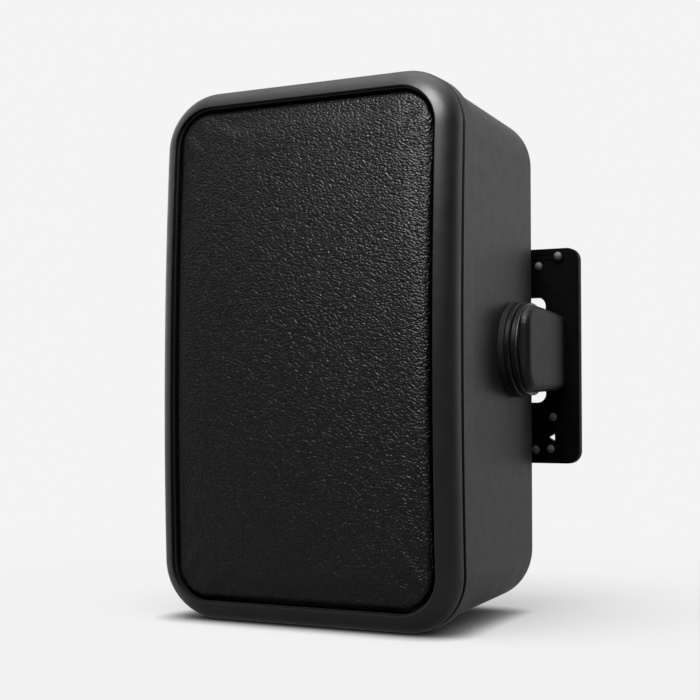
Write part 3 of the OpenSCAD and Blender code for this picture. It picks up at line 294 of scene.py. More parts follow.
cone_paper = fibrous("cone paper", (0.03, 0.03, 0.032), 0.75, 1.2 * mm, 0.06 * mm)
dome_silk = fibrous("dome silk", (0.02, 0.02, 0.022), 0.5, 0.4 * mm, 0.02 * mm, Sheen_Weight=0.2)
spider_cloth = fibrous("spider cloth", (0.6, 0.48, 0.25), 0.85, 0.5 * mm, 0.05 * mm,
                       Sheen_Weight=0.3)
wadding_wool = fibrous("wadding wool", (0.75, 0.75, 0.72), 0.95, 2.5 * mm, 0.8 * mm,
                       Sheen_Weight=0.5)
board_green = moulded("board lacquer", (0.03, 0.16, 0.07), 0.3, grain=1.2 * mm, depth=0.01 * mm)
print("finishes:", len(bpy.data.materials))

# %% [markdown]
# ## Who wears what
# Each solid gets its finish by assignment to its material slots. One table of plain words is easier
# to read, and to mend, than the same line fifty times.

# %% Dress the solids
wardrobe = {
    case_plastic: ["cabinet_shell"],
    bezel_plastic: ["front_bezel"],
    gasket_rubber: ["seam_gasket", "front_cover"],
    inner_plastic: ["front_baffle", "grille_frame", "tweeter_faceplate", "woofer_trim_ring",
                    "terminal_cup"],
    black_steel: ["baffle_screws", "woofer_screws", "tweeter_screws", "crossover_screws",
                  "terminal_screws", "arm_screws"],
    basket_metal: ["woofer_basket"],
    surround_rubber: ["woofer_surround"],
    cone_paper: ["woofer_cone", "woofer_dust_cap"],
    copper: ["woofer_voice_coil", "tweeter_voice_coil", "crossover_inductors"],
    spider_cloth: ["woofer_spider"],
    pole_steel: ["woofer_top_plate", "woofer_yoke", "tweeter_top_plate", "tweeter_yoke"],
    ferrite: ["woofer_magnet", "tweeter_magnet"],
    dome_silk: ["tweeter_dome"],
    board_green: ["crossover_board"],
    capacitor_film: ["crossover_capacitors"],
    resistor_body: ["crossover_resistor"],
    red_plastic: ["terminal_base_red", "terminal_cap_red"],
    black_plastic: ["terminal_base_black", "terminal_cap_black"],
    brass: ["terminal_posts"],
    bright_steel: ["terminal_nuts", "pivot_shaft", "spring_washer", "pivot_nut"],
    wadding_wool: ["wadding"],
    red_wire: ["input_wires", "woofer_wires", "tweeter_wires"],
    bush_plastic: ["pivot_bush"],
    ring_rubber: ["rubber_ring"],
    ring_plastic: ["pivot_collar", "pivot_ring"],
    ring_metal: ["bright_ring"],
    arm_plastic: ["bracket_arm"],
    plate_paint: ["wall_plate"],
    rivet_steel: ["plate_screws"],
}
for finish, names in wardrobe.items():
    for name in names:
        nodes[name].data.materials.clear()
        nodes[name].data.materials.append(finish)
bare = set(nodes) - {name for names in wardrobe.values() for name in names}
print("solids with no finish:", sorted(bare))

# %% [markdown]
# ## Lofting a mould
# The cabinet's skins are all drawn from one outline: a rectangle with round corners, set in by some
# distance and moved back to some depth. A skin is a stack of such outlines with faces between
# neighbours. Every outline has the same number of points, so no face is ever a triangle, and the
# light runs smoothly round the corners.

# %% Helpers for lofted skins
corner_steps = 20
side_steps = 36
least_round = 1 * mm
quarters = ((1, 1), (-1, 1), (-1, -1), (1, -1))


def outline(width, height, radius, depth, bowed):
    """A rounded rectangle at a depth, bowed by a share from 0 to 1."""
    half_w, half_h = width / 2, height / 2
    flat = []
    for quarter, (sx, sz) in enumerate(quarters):
        for k in range(corner_steps + 1):
            turn = math.radians(90 * (quarter + k / corner_steps))
            flat.append((sx * (half_w - radius) + radius * math.cos(turn),
                         sz * (half_h - radius) + radius * math.sin(turn)))
        if quarter % 2 == 1:
            x, z = flat[-1]
            for k in range(1, side_steps):
                flat.append((x, z - sz * 2 * (half_h - radius) * k / side_steps))
    return [middle + Vector((x, depth + bowed * bow(z), z)) for x, z in flat]


def inset(distance, depth, bowed):
    """The cabinet's outline, set in from its widest part."""
    radius = max(corner_round - distance, least_round)
    return outline(cabinet_w - 2 * distance, cabinet_h - 2 * distance, radius, depth, bowed)


def loft(name, rings, closed=False, first_cap=False, last_cap=False):
    """A mesh object whose faces join each ring to the next."""
    mesh = bpy.data.meshes.new(name)
    count = len(rings[0])
    faces = []
    steps = len(rings) if closed else len(rings) - 1
    for i in range(steps):
        a, b = i * count, (i + 1) % len(rings) * count
        for k in range(count):
            m = (k + 1) % count
            faces.append((a + k, a + m, b + m, b + k))
    if first_cap:
        faces.append(tuple(reversed(range(count))))
    if last_cap:
        faces.append(tuple(range((len(rings) - 1) * count, len(rings) * count)))
    mesh.from_pydata([p for ring in rings for p in ring], [], faces)
    piece = bpy.data.objects.new(name, mesh)
    bpy.context.scene.collection.objects.link(piece)
    return piece


def outward(piece):
    """Turns the faces outwards."""
    soup = bmesh.new()
    soup.from_mesh(piece.data)
    bmesh.ops.recalc_face_normals(soup, faces=soup.faces)
    soup.to_mesh(piece.data)
    soup.free()


def apply_modifiers(piece):
    """Makes what the modifiers show the piece's own mesh."""
    graph = bpy.context.evaluated_depsgraph_get()
    mesh = bpy.data.meshes.new_from_object(piece.evaluated_get(graph))
    piece.modifiers.clear()
    piece.data = mesh


def soften(piece, width, angle=35, segments=2):
    """Rounds the sharp edges, so that they catch a line of light, and smooths the shading."""
    bevel = piece.modifiers.new("edge round", "BEVEL")
    bevel.width = width
    bevel.segments = segments
    bevel.limit_method = "ANGLE"
    bevel.angle_limit = math.radians(angle)
    apply_modifiers(piece)
    shade(piece)
    flat = piece.modifiers.new("flat faces", "WEIGHTED_NORMAL")
    flat.keep_sharp = True
    apply_modifiers(piece)


def shade(piece, angle=30):
    """Smooth shading with hard edges where the faces turn by more than angle."""
    piece.data.shade_smooth()
    piece.data.set_sharp_from_angle(angle=math.radians(angle))


def wear(piece, finish, body, stands_for):
    """Gives a finished piece its material and its body, and hides the solid it stands for."""
    piece.data.materials.clear()
    piece.data.materials.append(finish)
    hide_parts(stands_for)
    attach(piece, body)
    print(piece.name, "faces:", len(piece.data.polygons))


# %% [markdown]
# ## The bezel
# The bezel is a single moulded ring. Its outer edge is a large round, and the front bows forward at
# mid height. Its shape follows a rule: one profile goes round one outline, and then the whole ring
# is bowed. Geometry Nodes says just that. The profile is a loop of points with a number on each
# that tells how much of the bow it takes: all of it at the front, none at the flat ledge that holds
# the cover.

# %% Sizes of the bezel's profile
round_steps = 18
cover_ledge = 10 * mm
ledge_inset = bezel_border + 5 * mm
skirt_inset = 5.4 * mm
skirt_wall = 3 * mm
skirt_end = 17.9 * mm
edge_round = 0.5 * mm
lip_drop = 2.4 * mm
lip_back_step = 0.2 * mm
lip_inset = 0.7 * mm
ledge_thickness = 2 * mm


def bezel_profile():
    """The section's points (inset, depth, share of the bow), from the outer edge to the skirt."""
    first = math.asin(1 - bezel_border / bezel_round)
    points = []
    for k in range(round_steps + 1):
        turn = math.pi / 2 - (math.pi / 2 - first) * k / round_steps
        points.append((bezel_round * (1 - math.sin(turn)), bezel_depth * (1 - math.cos(turn)), 1))
    end_depth = points[-1][1]
    inner_edge = bezel_border + edge_round
    points += [
        (bezel_border + edge_round * 0.8, end_depth + edge_round * 0.4, 1),
        (inner_edge, end_depth + edge_round * 1.2, 1),
        (inner_edge, end_depth + lip_drop, 1),
        (inner_edge + lip_inset, end_depth + lip_drop + lip_back_step, 1),
        (inner_edge + lip_inset, cover_ledge, 0),
        (ledge_inset, cover_ledge, 0),
        (ledge_inset, cover_ledge + ledge_thickness, 0),
        (skirt_inset + skirt_wall, cover_ledge + ledge_thickness, 0),
        (skirt_inset + skirt_wall, skirt_end, 0),
        (skirt_inset, skirt_end, 0),
        (skirt_inset, bezel_depth, 1),
        (edge_round, bezel_depth, 1),
        (edge_round * 0.15, bezel_depth - edge_round * 0.4, 1),
    ]
    return points


print("points in the bezel's profile:", len(bezel_profile()))


# %% Helpers for geometry trees
def geometry_tree(name, **sizes):
    """A geometry tree with a named input for each size."""
    tree = bpy.data.node_groups.new(name, "GeometryNodeTree")
    tree.interface.new_socket("Geometry", in_out="INPUT", socket_type="NodeSocketGeometry")
    for label, value in sizes.items():
        kind = "NodeSocketInt" if isinstance(value, int) else "NodeSocketFloat"
        socket = tree.interface.new_socket(label.replace("_", " "), in_out="INPUT", socket_type=kind)
        socket.default_value = value
    tree.interface.new_socket("Geometry", in_out="OUTPUT", socket_type="NodeSocketGeometry")
    return tree, tree.nodes.new("NodeGroupInput"), tree.nodes.new("NodeGroupOutput")


def math_node(tree, operation, a, b=0.0):
    """A math node whose two terms are numbers or sockets."""
    node = tree.nodes.new("ShaderNodeMath")
    node.operation = operation
    for socket, value in zip(node.inputs, (a, b)):
        if isinstance(value, bpy.types.NodeSocket):
            tree.links.new(value, socket)
        else:
            socket.default_value = value
    return node.outputs[0]


def finish_tree(tree, geometry, output, material):
    """Ends a tree in real, painted geometry."""
    real = add(tree, "GeometryNodeRealizeInstances", Geometry=geometry)
    paint = add(tree, "GeometryNodeSetMaterial", Geometry=real.outputs["Geometry"])
    paint.inputs["Material"].default_value = material
    tree.links.new(paint.outputs["Geometry"], output.inputs["Geometry"])


def grow(name, tree, seed_mesh, **sizes):
    """Runs a tree once on a mesh and keeps the result as a plain mesh."""
    host = bpy.data.objects.new(name, seed_mesh)
    bpy.context.scene.collection.objects.link(host)
    modifier = host.modifiers.new(tree.name, "NODES")
    modifier.node_group = tree
    identifiers = {
        item.name: item.identifier
        for item in tree.interface.items_tree
        if item.item_type == "SOCKET" and item.in_out == "INPUT"
    }
    for label, value in sizes.items():
        modifier[identifiers[label.replace("_", " ")]] = value
    apply_modifiers(host)
    return host


# %% Sweep the profile round the outline
bezel_points = 480
bezel_tree, given, made = geometry_tree(
    "bezel sweep", Width=0.1, Height=0.2, Corner=0.02, Bow=0.0, Half_height=0.1, Points=100
)
rectangle = add(bezel_tree, "GeometryNodeCurvePrimitiveQuadrilateral",
                Width=given.outputs["Width"], Height=given.outputs["Height"])
rounded = bezel_tree.nodes.new("GeometryNodeFilletCurve")
rounded.mode = "POLY"
rounded.inputs["Count"].default_value = corner_steps
bezel_tree.links.new(rectangle.outputs["Curve"], rounded.inputs["Curve"])
bezel_tree.links.new(given.outputs["Corner"], rounded.inputs["Radius"])
even = bezel_tree.nodes.new("GeometryNodeResampleCurve")
bezel_tree.links.new(rounded.outputs["Curve"], even.inputs["Curve"])
bezel_tree.links.new(given.outputs["Points"], even.inputs["Count"])
profile_curve = bezel_tree.nodes.new("GeometryNodeMeshToCurve")
bezel_tree.links.new(given.outputs["Geometry"], profile_curve.inputs["Mesh"])
sweep = bezel_tree.nodes.new("GeometryNodeCurveToMesh")
bezel_tree.links.new(even.outputs["Curve"], sweep.inputs["Curve"])
bezel_tree.links.new(profile_curve.outputs["Curve"], sweep.inputs["Profile Curve"])
stand = bezel_tree.nodes.new("GeometryNodeTransform")
stand.inputs["Rotation"].default_value = (math.pi / 2, 0, 0)
bezel_tree.links.new(sweep.outputs["Mesh"], stand.inputs["Geometry"])
print("nodes in the sweep:", len(bezel_tree.nodes))

# %% Bow the ring
bow_share = bezel_tree.nodes.new("GeometryNodeInputNamedAttribute")
bow_share.data_type = "FLOAT"
bow_share.inputs["Name"].default_value = "share of the bow"
position = bezel_tree.nodes.new("GeometryNodeInputPosition")
apart = add(bezel_tree, "ShaderNodeSeparateXYZ", Vector=position.outputs["Position"])
height_ratio = math_node(bezel_tree, "DIVIDE", apart.outputs["Z"], given.outputs["Half height"])
fall = math_node(bezel_tree, "SUBTRACT", 1.0, math_node(bezel_tree, "POWER", height_ratio, 2.0))
bulge = math_node(bezel_tree, "MULTIPLY", fall, given.outputs["Bow"])
bulge = math_node(bezel_tree, "MULTIPLY", bulge, bow_share.outputs["Attribute"])
push = add(bezel_tree, "ShaderNodeCombineXYZ", Y=math_node(bezel_tree, "MULTIPLY", bulge, -1.0))
bowed = bezel_tree.nodes.new("GeometryNodeSetPosition")
bezel_tree.links.new(stand.outputs["Geometry"], bowed.inputs["Geometry"])
bezel_tree.links.new(push.outputs["Vector"], bowed.inputs["Offset"])
finish_tree(bezel_tree, bowed.outputs["Geometry"], made, bezel_plastic)
print("nodes in the whole tree:", len(bezel_tree.nodes))

# %% Grow the bezel
profile_points = bezel_profile()
corners = [(-distance, depth, 0) for distance, depth, share in profile_points]
edges = [(k, (k + 1) % len(corners)) for k in range(len(corners))]
profile_mesh = bpy.data.meshes.new("bezel profile")
profile_mesh.from_pydata(corners, edges, [])
shares = profile_mesh.attributes.new("share of the bow", "FLOAT", "POINT")
shares.data.foreach_set("value", [float(share) for distance, depth, share in profile_points])
bezel = grow("front_bezel_skin", bezel_tree, profile_mesh, Width=cabinet_w, Height=cabinet_h,
             Corner=corner_round, Bow=bow_height, Half_height=cabinet_h / 2, Points=bezel_points)
bezel.data.transform(Matrix.Translation(middle))
low = [min(v.co[i] for v in bezel.data.vertices) - bezel_low[i] for i in range(3)]
high = [max(v.co[i] for v in bezel.data.vertices) - bezel_high[i] for i in range(3)]
print("bezel against its solid, mm:", [round(d / mm, 2) for d in low + high])
outward(bezel)
shade(bezel)
wear(bezel, bezel_plastic, "cabinet", "front_bezel")

# %% [markdown]
# ## The cabinet's shell
# The shell is one moulding: a lip that stands slightly proud behind the seam, straight sides, and a
# rear that is a little smaller so that the part leaves its mould. It is lofted outside and inside,
# and the opening for the sockets and the hole for the tilt pivot are cut out of it.

# %% Loft the shell
side_draft = 0.8 * mm
top_draft = 4.6 * mm
shell_edge = 0.35 * mm
side_levels = (0.75, 0.5, 0.25, 0.05, 0)
shell_front = bezel_depth + seam
lip_back = shell_front + lip_depth
inner_corner = corner_round - lip_step - wall
rear_steps = 8


def body_ring(distance, depth, corner=corner_round - lip_step):
    """The shell's outline behind the lip, where the sides draw in towards the rear."""
    along = (depth - lip_back) / (cabinet_depth - lip_back)
    width = cabinet_w - 2 * (lip_step + side_draft * along + distance)
    height = cabinet_h - 2 * (lip_step + top_draft * along + distance)
    return outline(width, height, max(corner - distance, least_round), depth, 0)


rear_turns = [math.pi / 2 * k / rear_steps for k in range(rear_steps + 1)]
shell_rings = [
    body_ring(rear_round * (1 - math.sin(t)), cabinet_depth - rear_round * (1 - math.cos(t)))
    for t in rear_turns
]
side_length = cabinet_depth - rear_round - lip_back
shell_rings += [body_ring(0, lip_back + side_length * level) for level in side_levels]
shell_rings.append(inset(0, lip_back, 0))
shell_rings.append(inset(0, lip_back - lip_depth / 2, 0.5))
shell_rings.append(inset(0, shell_front, 1))
shell_rings.append(inset(lip_step + wall, shell_front, 1))
for depth in (lip_back, cabinet_depth - wall):
    shell_rings.append(body_ring(wall, depth, inner_corner + wall))
shell = loft("cabinet_shell_skin", shell_rings, first_cap=True, last_cap=True)
outward(shell)
print("shell rings:", len(shell_rings))


# %% Helpers for cutting
def cut(piece, *tools):
    """Takes the tools out of the piece."""
    for tool in tools:
        modifier = piece.modifiers.new("cut", "BOOLEAN")
        modifier.operation = "DIFFERENCE"
        modifier.solver = "EXACT"
        modifier.object = tool
    apply_modifiers(piece)
    for tool in tools:
        bpy.data.objects.remove(tool)


def block(name, low, high, corner, steps=8):
    """A block with its corners rounded about the Y axis."""
    half_w, half_h = (high.x - low.x) / 2, (high.z - low.z) / 2
    centre = (low + high) / 2
    soup = bmesh.new()
    for y in (low.y, high.y):
        for quarter, (sx, sz) in enumerate(quarters):
            for k in range(steps + 1):
                turn = math.radians(90 * (quarter + k / steps))
                soup.verts.new((centre.x + sx * (half_w - corner) + corner * math.cos(turn), y,
                                centre.z + sz * (half_h - corner) + corner * math.sin(turn)))
    soup.verts.ensure_lookup_table()
    n = len(soup.verts) // 2
    for k in range(n):
        m = (k + 1) % n
        soup.faces.new([soup.verts[i] for i in (k, m, n + m, n + k)])
    soup.faces.new(soup.verts[:n])
    soup.faces.new(soup.verts[n:])
    bmesh.ops.recalc_face_normals(soup, faces=soup.faces)
    mesh = bpy.data.meshes.new(name)
    soup.to_mesh(mesh)
    soup.free()
    tool = bpy.data.objects.new(name, mesh)
    bpy.context.scene.collection.objects.link(tool)
    return tool


def round_tool(name, radius, start, length, axis, segments=64):
    """A round cutter from start, along the axis."""
    soup = bmesh.new()
    bmesh.ops.create_cone(soup, cap_ends=True, segments=segments, radius1=radius, radius2=radius,
                          depth=length)
    mesh = bpy.data.meshes.new(name)
    soup.to_mesh(mesh)
    soup.free()
    aim = axis.to_track_quat("Z", "Y").to_matrix().to_4x4()
    mesh.transform(Matrix.Translation(start + axis * length / 2) @ aim)
    tool = bpy.data.objects.new(name, mesh)
    bpy.context.scene.collection.objects.link(tool)
    return tool


# %% Open the shell for the sockets and the pivot
cup_flange = 5 * mm
cup_corner = 5 * mm
room = 0.1 * mm
bush_hole_length = 40 * mm
cup_low, cup_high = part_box("terminal_cup")
inward = cup_flange - room
opening_low = Vector((cup_low.x + inward, shell_back - 2 * wall, cup_low.z + inward))
opening_high = Vector((cup_high.x - inward, shell_back + wall, cup_high.z - inward))
cup_opening = block("cup opening", opening_low, opening_high, cup_corner)
bush_low, bush_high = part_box("pivot_bush")
pivot = (bush_low + bush_high) / 2
bush_radius = (bush_high.y - bush_low.y) / 2
bush_start = Vector((bush_low.x, pivot.y, pivot.z))
bush_hole = round_tool("bush hole", bush_radius + room, bush_start, bush_hole_length,
                       Vector((1, 0, 0)))
cut(shell, cup_opening, bush_hole)
soften(shell, shell_edge)
wear(shell, case_plastic, "cabinet", "cabinet_shell")

# %% Loft the gasket in the seam
seam_inset = 2.2 * mm
clear = 0.1 * mm
gasket_front = bezel_depth + clear
gasket_back = shell_front - clear
gasket_inner = skirt_inset - clear
gasket_rings = [
    inset(seam_inset, gasket_back, 1),
    inset(seam_inset, gasket_front, 1),
    inset(gasket_inner, gasket_front, 1),
    inset(gasket_inner, gasket_back, 1),
]
gasket = loft("seam_gasket_skin", gasket_rings, closed=True)
outward(gasket)
shade(gasket)
wear(gasket, gasket_rubber, "cabinet", "seam_gasket")

# %% [markdown]
# ## The leather cover
# The front is a padded panel: leather stretched over foam and a stiff board, with its edge rolled
# back. Nothing about it is quite flat, so it is the one piece that is worth a cloth simulation. It
# starts as an even grid, a little thinner than the real pad, and is blown up by a light pressure
# while the back edge is held. Then each point is kept within a small distance of the start, as the
# board and the foam would keep it.

# %% Build the pad's grid
cover_gap = 2.7 * mm
cover_roll = 3.2 * mm
cover_front = 1.4 * mm
cover_crown = 1.2 * mm
cover_back = 7.4 * mm
back_round = 1 * mm
bowed_part = 0.8
grid_cell = 2.4 * mm
roll_steps = 5


def round_square(u, v, half_w, half_h, radius):
    """Moves a point of a rectangle so that the rectangle's corners become round."""
    x, z = u * half_w, v * half_h
    a = (abs(x) - (half_w - radius)) / radius
    b = (abs(z) - (half_h - radius)) / radius
    if a > 0 and b > 0:
        a, b = a * math.sqrt(1 - b * b / 2), b * math.sqrt(1 - a * a / 2)
        x = math.copysign(half_w - radius + a * radius, x)
        z = math.copysign(half_h - radius + b * radius, z)
    return x, z


def pad_mesh():
    """The pad: a grid in front, a roll round its edge, a short side and a flat back."""
    edge = bezel_border + cover_gap + cover_roll
    half_w, half_h = cabinet_w / 2 - edge, cabinet_h / 2 - edge
    radius = corner_round - edge
    columns = round(2 * half_w / grid_cell)
    rows = round(2 * half_h / grid_cell)
    soup = bmesh.new()
    grid = []
    for j in range(rows + 1):
        line = []
        for i in range(columns + 1):
            u, v = 2 * i / columns - 1, 2 * j / rows - 1
            x, z = round_square(u, v, half_w, half_h, radius)
            crown = cover_crown * (1 - abs(u) ** 2.5) * (1 - abs(v) ** 4)
            line.append(soup.verts.new((x, cover_front - crown + bow(z), z)))
        grid.append(line)
    for j in range(rows):
        for i in range(columns):
            soup.faces.new((grid[j][i], grid[j][i + 1], grid[j + 1][i + 1], grid[j + 1][i]))
    rim = [grid[0][i] for i in range(columns)] + [grid[j][columns] for j in range(rows)]
    rim += [grid[rows][i] for i in range(columns, 0, -1)] + [grid[j][0] for j in range(rows, 0, -1)]

    def out_of(vertex):
        """The direction straight out of the pad at a point of its rim."""
        x, z = vertex.co.x, vertex.co.z
        dx = x - max(-(half_w - radius), min(half_w - radius, x))
        dz = z - max(-(half_h - radius), min(half_h - radius, z))
        return Vector((dx, 0, dz)).normalized()

    thickness = cover_back - cover_front
    steps = []
    for k in range(1, roll_steps + 1):
        turn = math.pi / 2 * k / roll_steps
        steps.append((cover_roll * math.sin(turn), cover_roll * (1 - math.cos(turn))))
    steps.append((cover_roll, thickness - back_round))
    steps.append((cover_roll - back_round, thickness))
    last = rim
    for out, down in steps:
        ring = []
        for vertex in rim:
            away = out_of(vertex)
            bulge = bow(vertex.co.z) if down < bowed_part * thickness else 0.0
            ring.append(soup.verts.new((vertex.co.x + away.x * out, cover_front + bulge + down,
                                        vertex.co.z + away.z * out)))
        for k in range(len(rim)):
            m = (k + 1) % len(rim)
            soup.faces.new((last[k], last[m], ring[m], ring[k]))
        last = ring
    soup.faces.new(last)
    bmesh.ops.recalc_face_normals(soup, faces=soup.faces)
    mesh = bpy.data.meshes.new("leather_cover")
    soup.to_mesh(mesh)
    soup.free()
    return mesh


pad = bpy.data.objects.new("leather_cover", pad_mesh())
pad.data.transform(Matrix.Translation(middle))
bpy.context.scene.collection.objects.link(pad)
print("pad points:", len(pad.data.vertices))

# %% Puff the pad
puff_limit = 0.7 * mm
puff_pressure = 4.0
puff_frames = 20


def puff(piece, pressure, frames, limit, held_below):
    """Blows the piece up as cloth, holds its back, and caps how far any point moves."""
    start = [v.co.copy() for v in piece.data.vertices]
    held = piece.vertex_groups.new(name="held")
    held.add([v.index for v in piece.data.vertices if v.co.y > held_below], 1.0, "REPLACE")
    cloth = piece.modifiers.new("cloth", "CLOTH")
    settings = cloth.settings
    settings.vertex_group_mass = "held"
    settings.use_pressure = True
    settings.uniform_pressure_force = pressure
    settings.effector_weights.gravity = 0
    settings.mass = 0.3
    settings.tension_stiffness = 40
    settings.compression_stiffness = 40
    settings.bending_stiffness = 2
    cloth.collision_settings.use_collision = False
    cloth.point_cache.frame_end = frames
    for step in range(1, frames + 1):
        bpy.context.scene.frame_set(step)
    apply_modifiers(piece)
    furthest = 0.0
    for vertex, before in zip(piece.data.vertices, start):
        move = vertex.co - before
        furthest = max(furthest, move.length)
        if move.length > limit:
            vertex.co = before + move * (limit / move.length)
    piece.vertex_groups.clear()
    bpy.context.scene.frame_set(1)
    print("cloth moved at most", round(furthest / mm, 2), "mm, kept to", round(limit / mm, 2))


puff(pad, puff_pressure, puff_frames, puff_limit, middle.y + cover_front + cover_roll)

# %% [markdown]
# ## The leather's grain
# Pebbled leather is a field of small pebbles on a skin that ripples a little. The ripples are real
# geometry here, so they also show at the pad's edge: a tree measures a noise at each point and
# pushes the point along its normal. The pebbles and the creases between them are finer than the
# mesh, and the material adds those, with painted shade that darkens the colour in the creases.

# %% Refine the pad's mesh
fine_levels = 2


def open_back(piece):
    """Takes the one large face off the back, because a fine mesh there would be wasted."""
    soup = bmesh.new()
    soup.from_mesh(piece.data)
    bmesh.ops.delete(soup, geom=[f for f in soup.faces if len(f.verts) > 4], context="FACES_ONLY")
    soup.to_mesh(piece.data)
    soup.free()


def close_back(piece):
    """Closes the back again with one flat face."""
    soup = bmesh.new()
    soup.from_mesh(piece.data)
    bmesh.ops.holes_fill(soup, edges=[e for e in soup.edges if e.is_boundary])
    bmesh.ops.recalc_face_normals(soup, faces=soup.faces)
    soup.to_mesh(piece.data)
    soup.free()


open_back(pad)
fine = pad.modifiers.new("fine", "SUBSURF")
fine.levels = fine.render_levels = fine_levels
apply_modifiers(pad)
print("faces of the fine pad:", len(pad.data.polygons))

# %% Say how the leather ripples
grain_tree, given, made = geometry_tree(
    "leather ripples", Ripples=200.0, Height=0.0, Turn=0.0, Long=2.0
)
where = grain_tree.nodes.new("GeometryNodeInputPosition")
turned_place = grain_tree.nodes.new("ShaderNodeVectorRotate")
turned_place.rotation_type = "Y_AXIS"
turn_back = math_node(grain_tree, "MULTIPLY", given.outputs["Turn"], -1.0)
grain_tree.links.new(turn_back, turned_place.inputs["Angle"])
grain_tree.links.new(where.outputs["Position"], turned_place.inputs["Vector"])
apart = add(grain_tree, "ShaderNodeSeparateXYZ", Vector=turned_place.outputs["Vector"])
shorter = math_node(grain_tree, "DIVIDE", apart.outputs["X"], given.outputs["Long"])
stretched = add(grain_tree, "ShaderNodeCombineXYZ", X=shorter, Y=apart.outputs["Y"],
                Z=apart.outputs["Z"])
waves = add(grain_tree, "ShaderNodeTexNoise", Vector=stretched.outputs["Vector"],
            Scale=given.outputs["Ripples"], Detail=2.0)
rise = math_node(grain_tree, "SUBTRACT", waves.outputs["Fac"], 0.5)
rise = math_node(grain_tree, "MULTIPLY", rise, given.outputs["Height"])
normal = grain_tree.nodes.new("GeometryNodeInputNormal")
along = grain_tree.nodes.new("ShaderNodeVectorMath")
along.operation = "SCALE"
grain_tree.links.new(normal.outputs["Normal"], along.inputs[0])
grain_tree.links.new(rise, along.inputs["Scale"])
lifted = grain_tree.nodes.new("GeometryNodeSetPosition")
grain_tree.links.new(given.outputs["Geometry"], lifted.inputs["Geometry"])
grain_tree.links.new(along.outputs["Vector"], lifted.inputs["Offset"])
leather, leather_nodes, leather_shader = shader_material(
    "black leather", (0.008, 0.008, 0.0085), 0.38, Specular_IOR_Level=0.22
)
finish_tree(grain_tree, lifted.outputs["Geometry"], made, leather)
print("nodes in the leather's tree:", len(grain_tree.nodes))

# %% Raise the ripples
ripple = 5.5 * mm
ripple_height = 0.14 * mm
ripple_turn = math.radians(30)
ripple_long = 2.2
grown = grow("leather_cover_grain", grain_tree, pad.data, Ripples=1 / ripple,
             Height=ripple_height, Turn=ripple_turn, Long=ripple_long)
bpy.data.objects.remove(pad)
pad = grown
pad.name = "leather_cover"
close_back(pad)
pad.data.shade_smooth()
print("pad faces:", len(pad.data.polygons))

# %% Shape the pebbles
pebble = 1.0 * mm
pebble_long = 1.55
pebble_turn = ripple_turn * 0.7
stray = 0.8 * pebble
leather_place = leather_nodes.nodes.new("ShaderNodeTexCoord")
unrolled = leather_nodes.nodes.new("ShaderNodeMapping")
unrolled.vector_type = "TEXTURE"
unrolled.inputs["Rotation"].default_value = (0, pebble_turn, 0)
unrolled.inputs["Scale"].default_value = (pebble_long, 1, 1)
leather_nodes.links.new(leather_place.outputs["Object"], unrolled.inputs["Vector"])
where = unrolled.outputs["Vector"]
wander = add(leather_nodes, "ShaderNodeTexNoise", Vector=where, Scale=0.45 / pebble, Detail=1.0)
astray = leather_nodes.nodes.new("ShaderNodeVectorMath")
astray.operation = "MULTIPLY_ADD"
leather_nodes.links.new(wander.outputs["Color"], astray.inputs[0])
astray.inputs[1].default_value = (stray, stray, stray)
leather_nodes.links.new(where, astray.inputs[2])
pebbles = add(leather_nodes, "ShaderNodeTexVoronoi", Vector=astray.outputs["Vector"],
              Scale=1 / pebble)
pillow = math_node(leather_nodes, "POWER", pebbles.outputs["Distance"], 2.0)
fall = math_node(leather_nodes, "MULTIPLY", pillow, 1.8)
crown = math_node(leather_nodes, "SUBTRACT", 1.0, fall)
print("pebble in mm:", round(pebble / mm, 2), "times", round(pebble_long * pebble / mm, 2))

# %% Finish of the leather
pebble_depth = 0.25 * mm
gloss_patches = 300
unevenness = drift(leather_nodes, where, 1.6 / pebble, 0, 0.5)
relief = math_node(leather_nodes, "ADD", crown, unevenness)
# Painted shade: the base colour is darker in the creases between the pebbles and lighter on their
# crowns.
painted_crease_shade = math_node(leather_nodes, "MAXIMUM", crown, 0.0)
tone = two_tones(leather_nodes, painted_crease_shade, (0.001, 0.001, 0.001), (0.004, 0.004, 0.0042))
gloss = drift(leather_nodes, where, gloss_patches, 0.32, 0.42)
leather_nodes.links.new(tone, leather_shader.inputs["Base Color"])
leather_nodes.links.new(gloss, leather_shader.inputs["Roughness"])
bump(leather_nodes, leather_shader, relief, pebble_depth)
wear(pad, leather, "cabinet", "front_cover")

# %% [markdown]
# ## Floor, backdrop and light
# The speaker stands on a plain pale floor that melts into the backdrop. Near the speaker part of the
# floor takes real shadow, and a painted contact shadow darkens its glow and its colour close to the
# speaker; further off the floor fades to plain white. Dark plastic shows mostly what it mirrors, so
# diffuse light and gloss are lit apart. One wide sun overhead gives the diffuse light and the soft
# shadow. Gloss sees three glowing walls, at the rear, above and on the left, and two lamps.

# %% Lay the floor
backdrop_white = 0.905
floor_size = 6.0
floor_z = solid_low.z


def flat_square(name, size, centre):
    """A square that lies level, facing up."""
    half = size / 2
    corners = [centre + Vector((x * half, y * half, 0))
               for x, y in ((-1, -1), (1, -1), (1, 1), (-1, 1))]
    mesh = bpy.data.meshes.new(name)
    mesh.from_pydata(corners, [], [(0, 1, 2, 3)])
    piece = bpy.data.objects.new(name, mesh)
    bpy.context.scene.collection.objects.link(piece)
    return piece


floor = flat_square("floor", floor_size, Vector((middle.x, middle.y, floor_z)))
floor.visible_diffuse = False
print("floor in m:", floor_size, "at height", round(floor_z, 4))


# %% Let the floor glow
def seen(tree, rays, level, in_gloss):
    """The strength of a surface that only the camera, gloss and glass see as bright."""
    gloss = math_node(tree, "MULTIPLY", rays.outputs["Is Glossy Ray"], in_gloss)
    direct = math_node(tree, "ADD", rays.outputs["Is Camera Ray"], gloss)
    direct = math_node(tree, "ADD", direct, rays.outputs["Is Transmission Ray"])
    return math_node(tree, "MULTIPLY", math_node(tree, "MINIMUM", direct, 1.0), level)


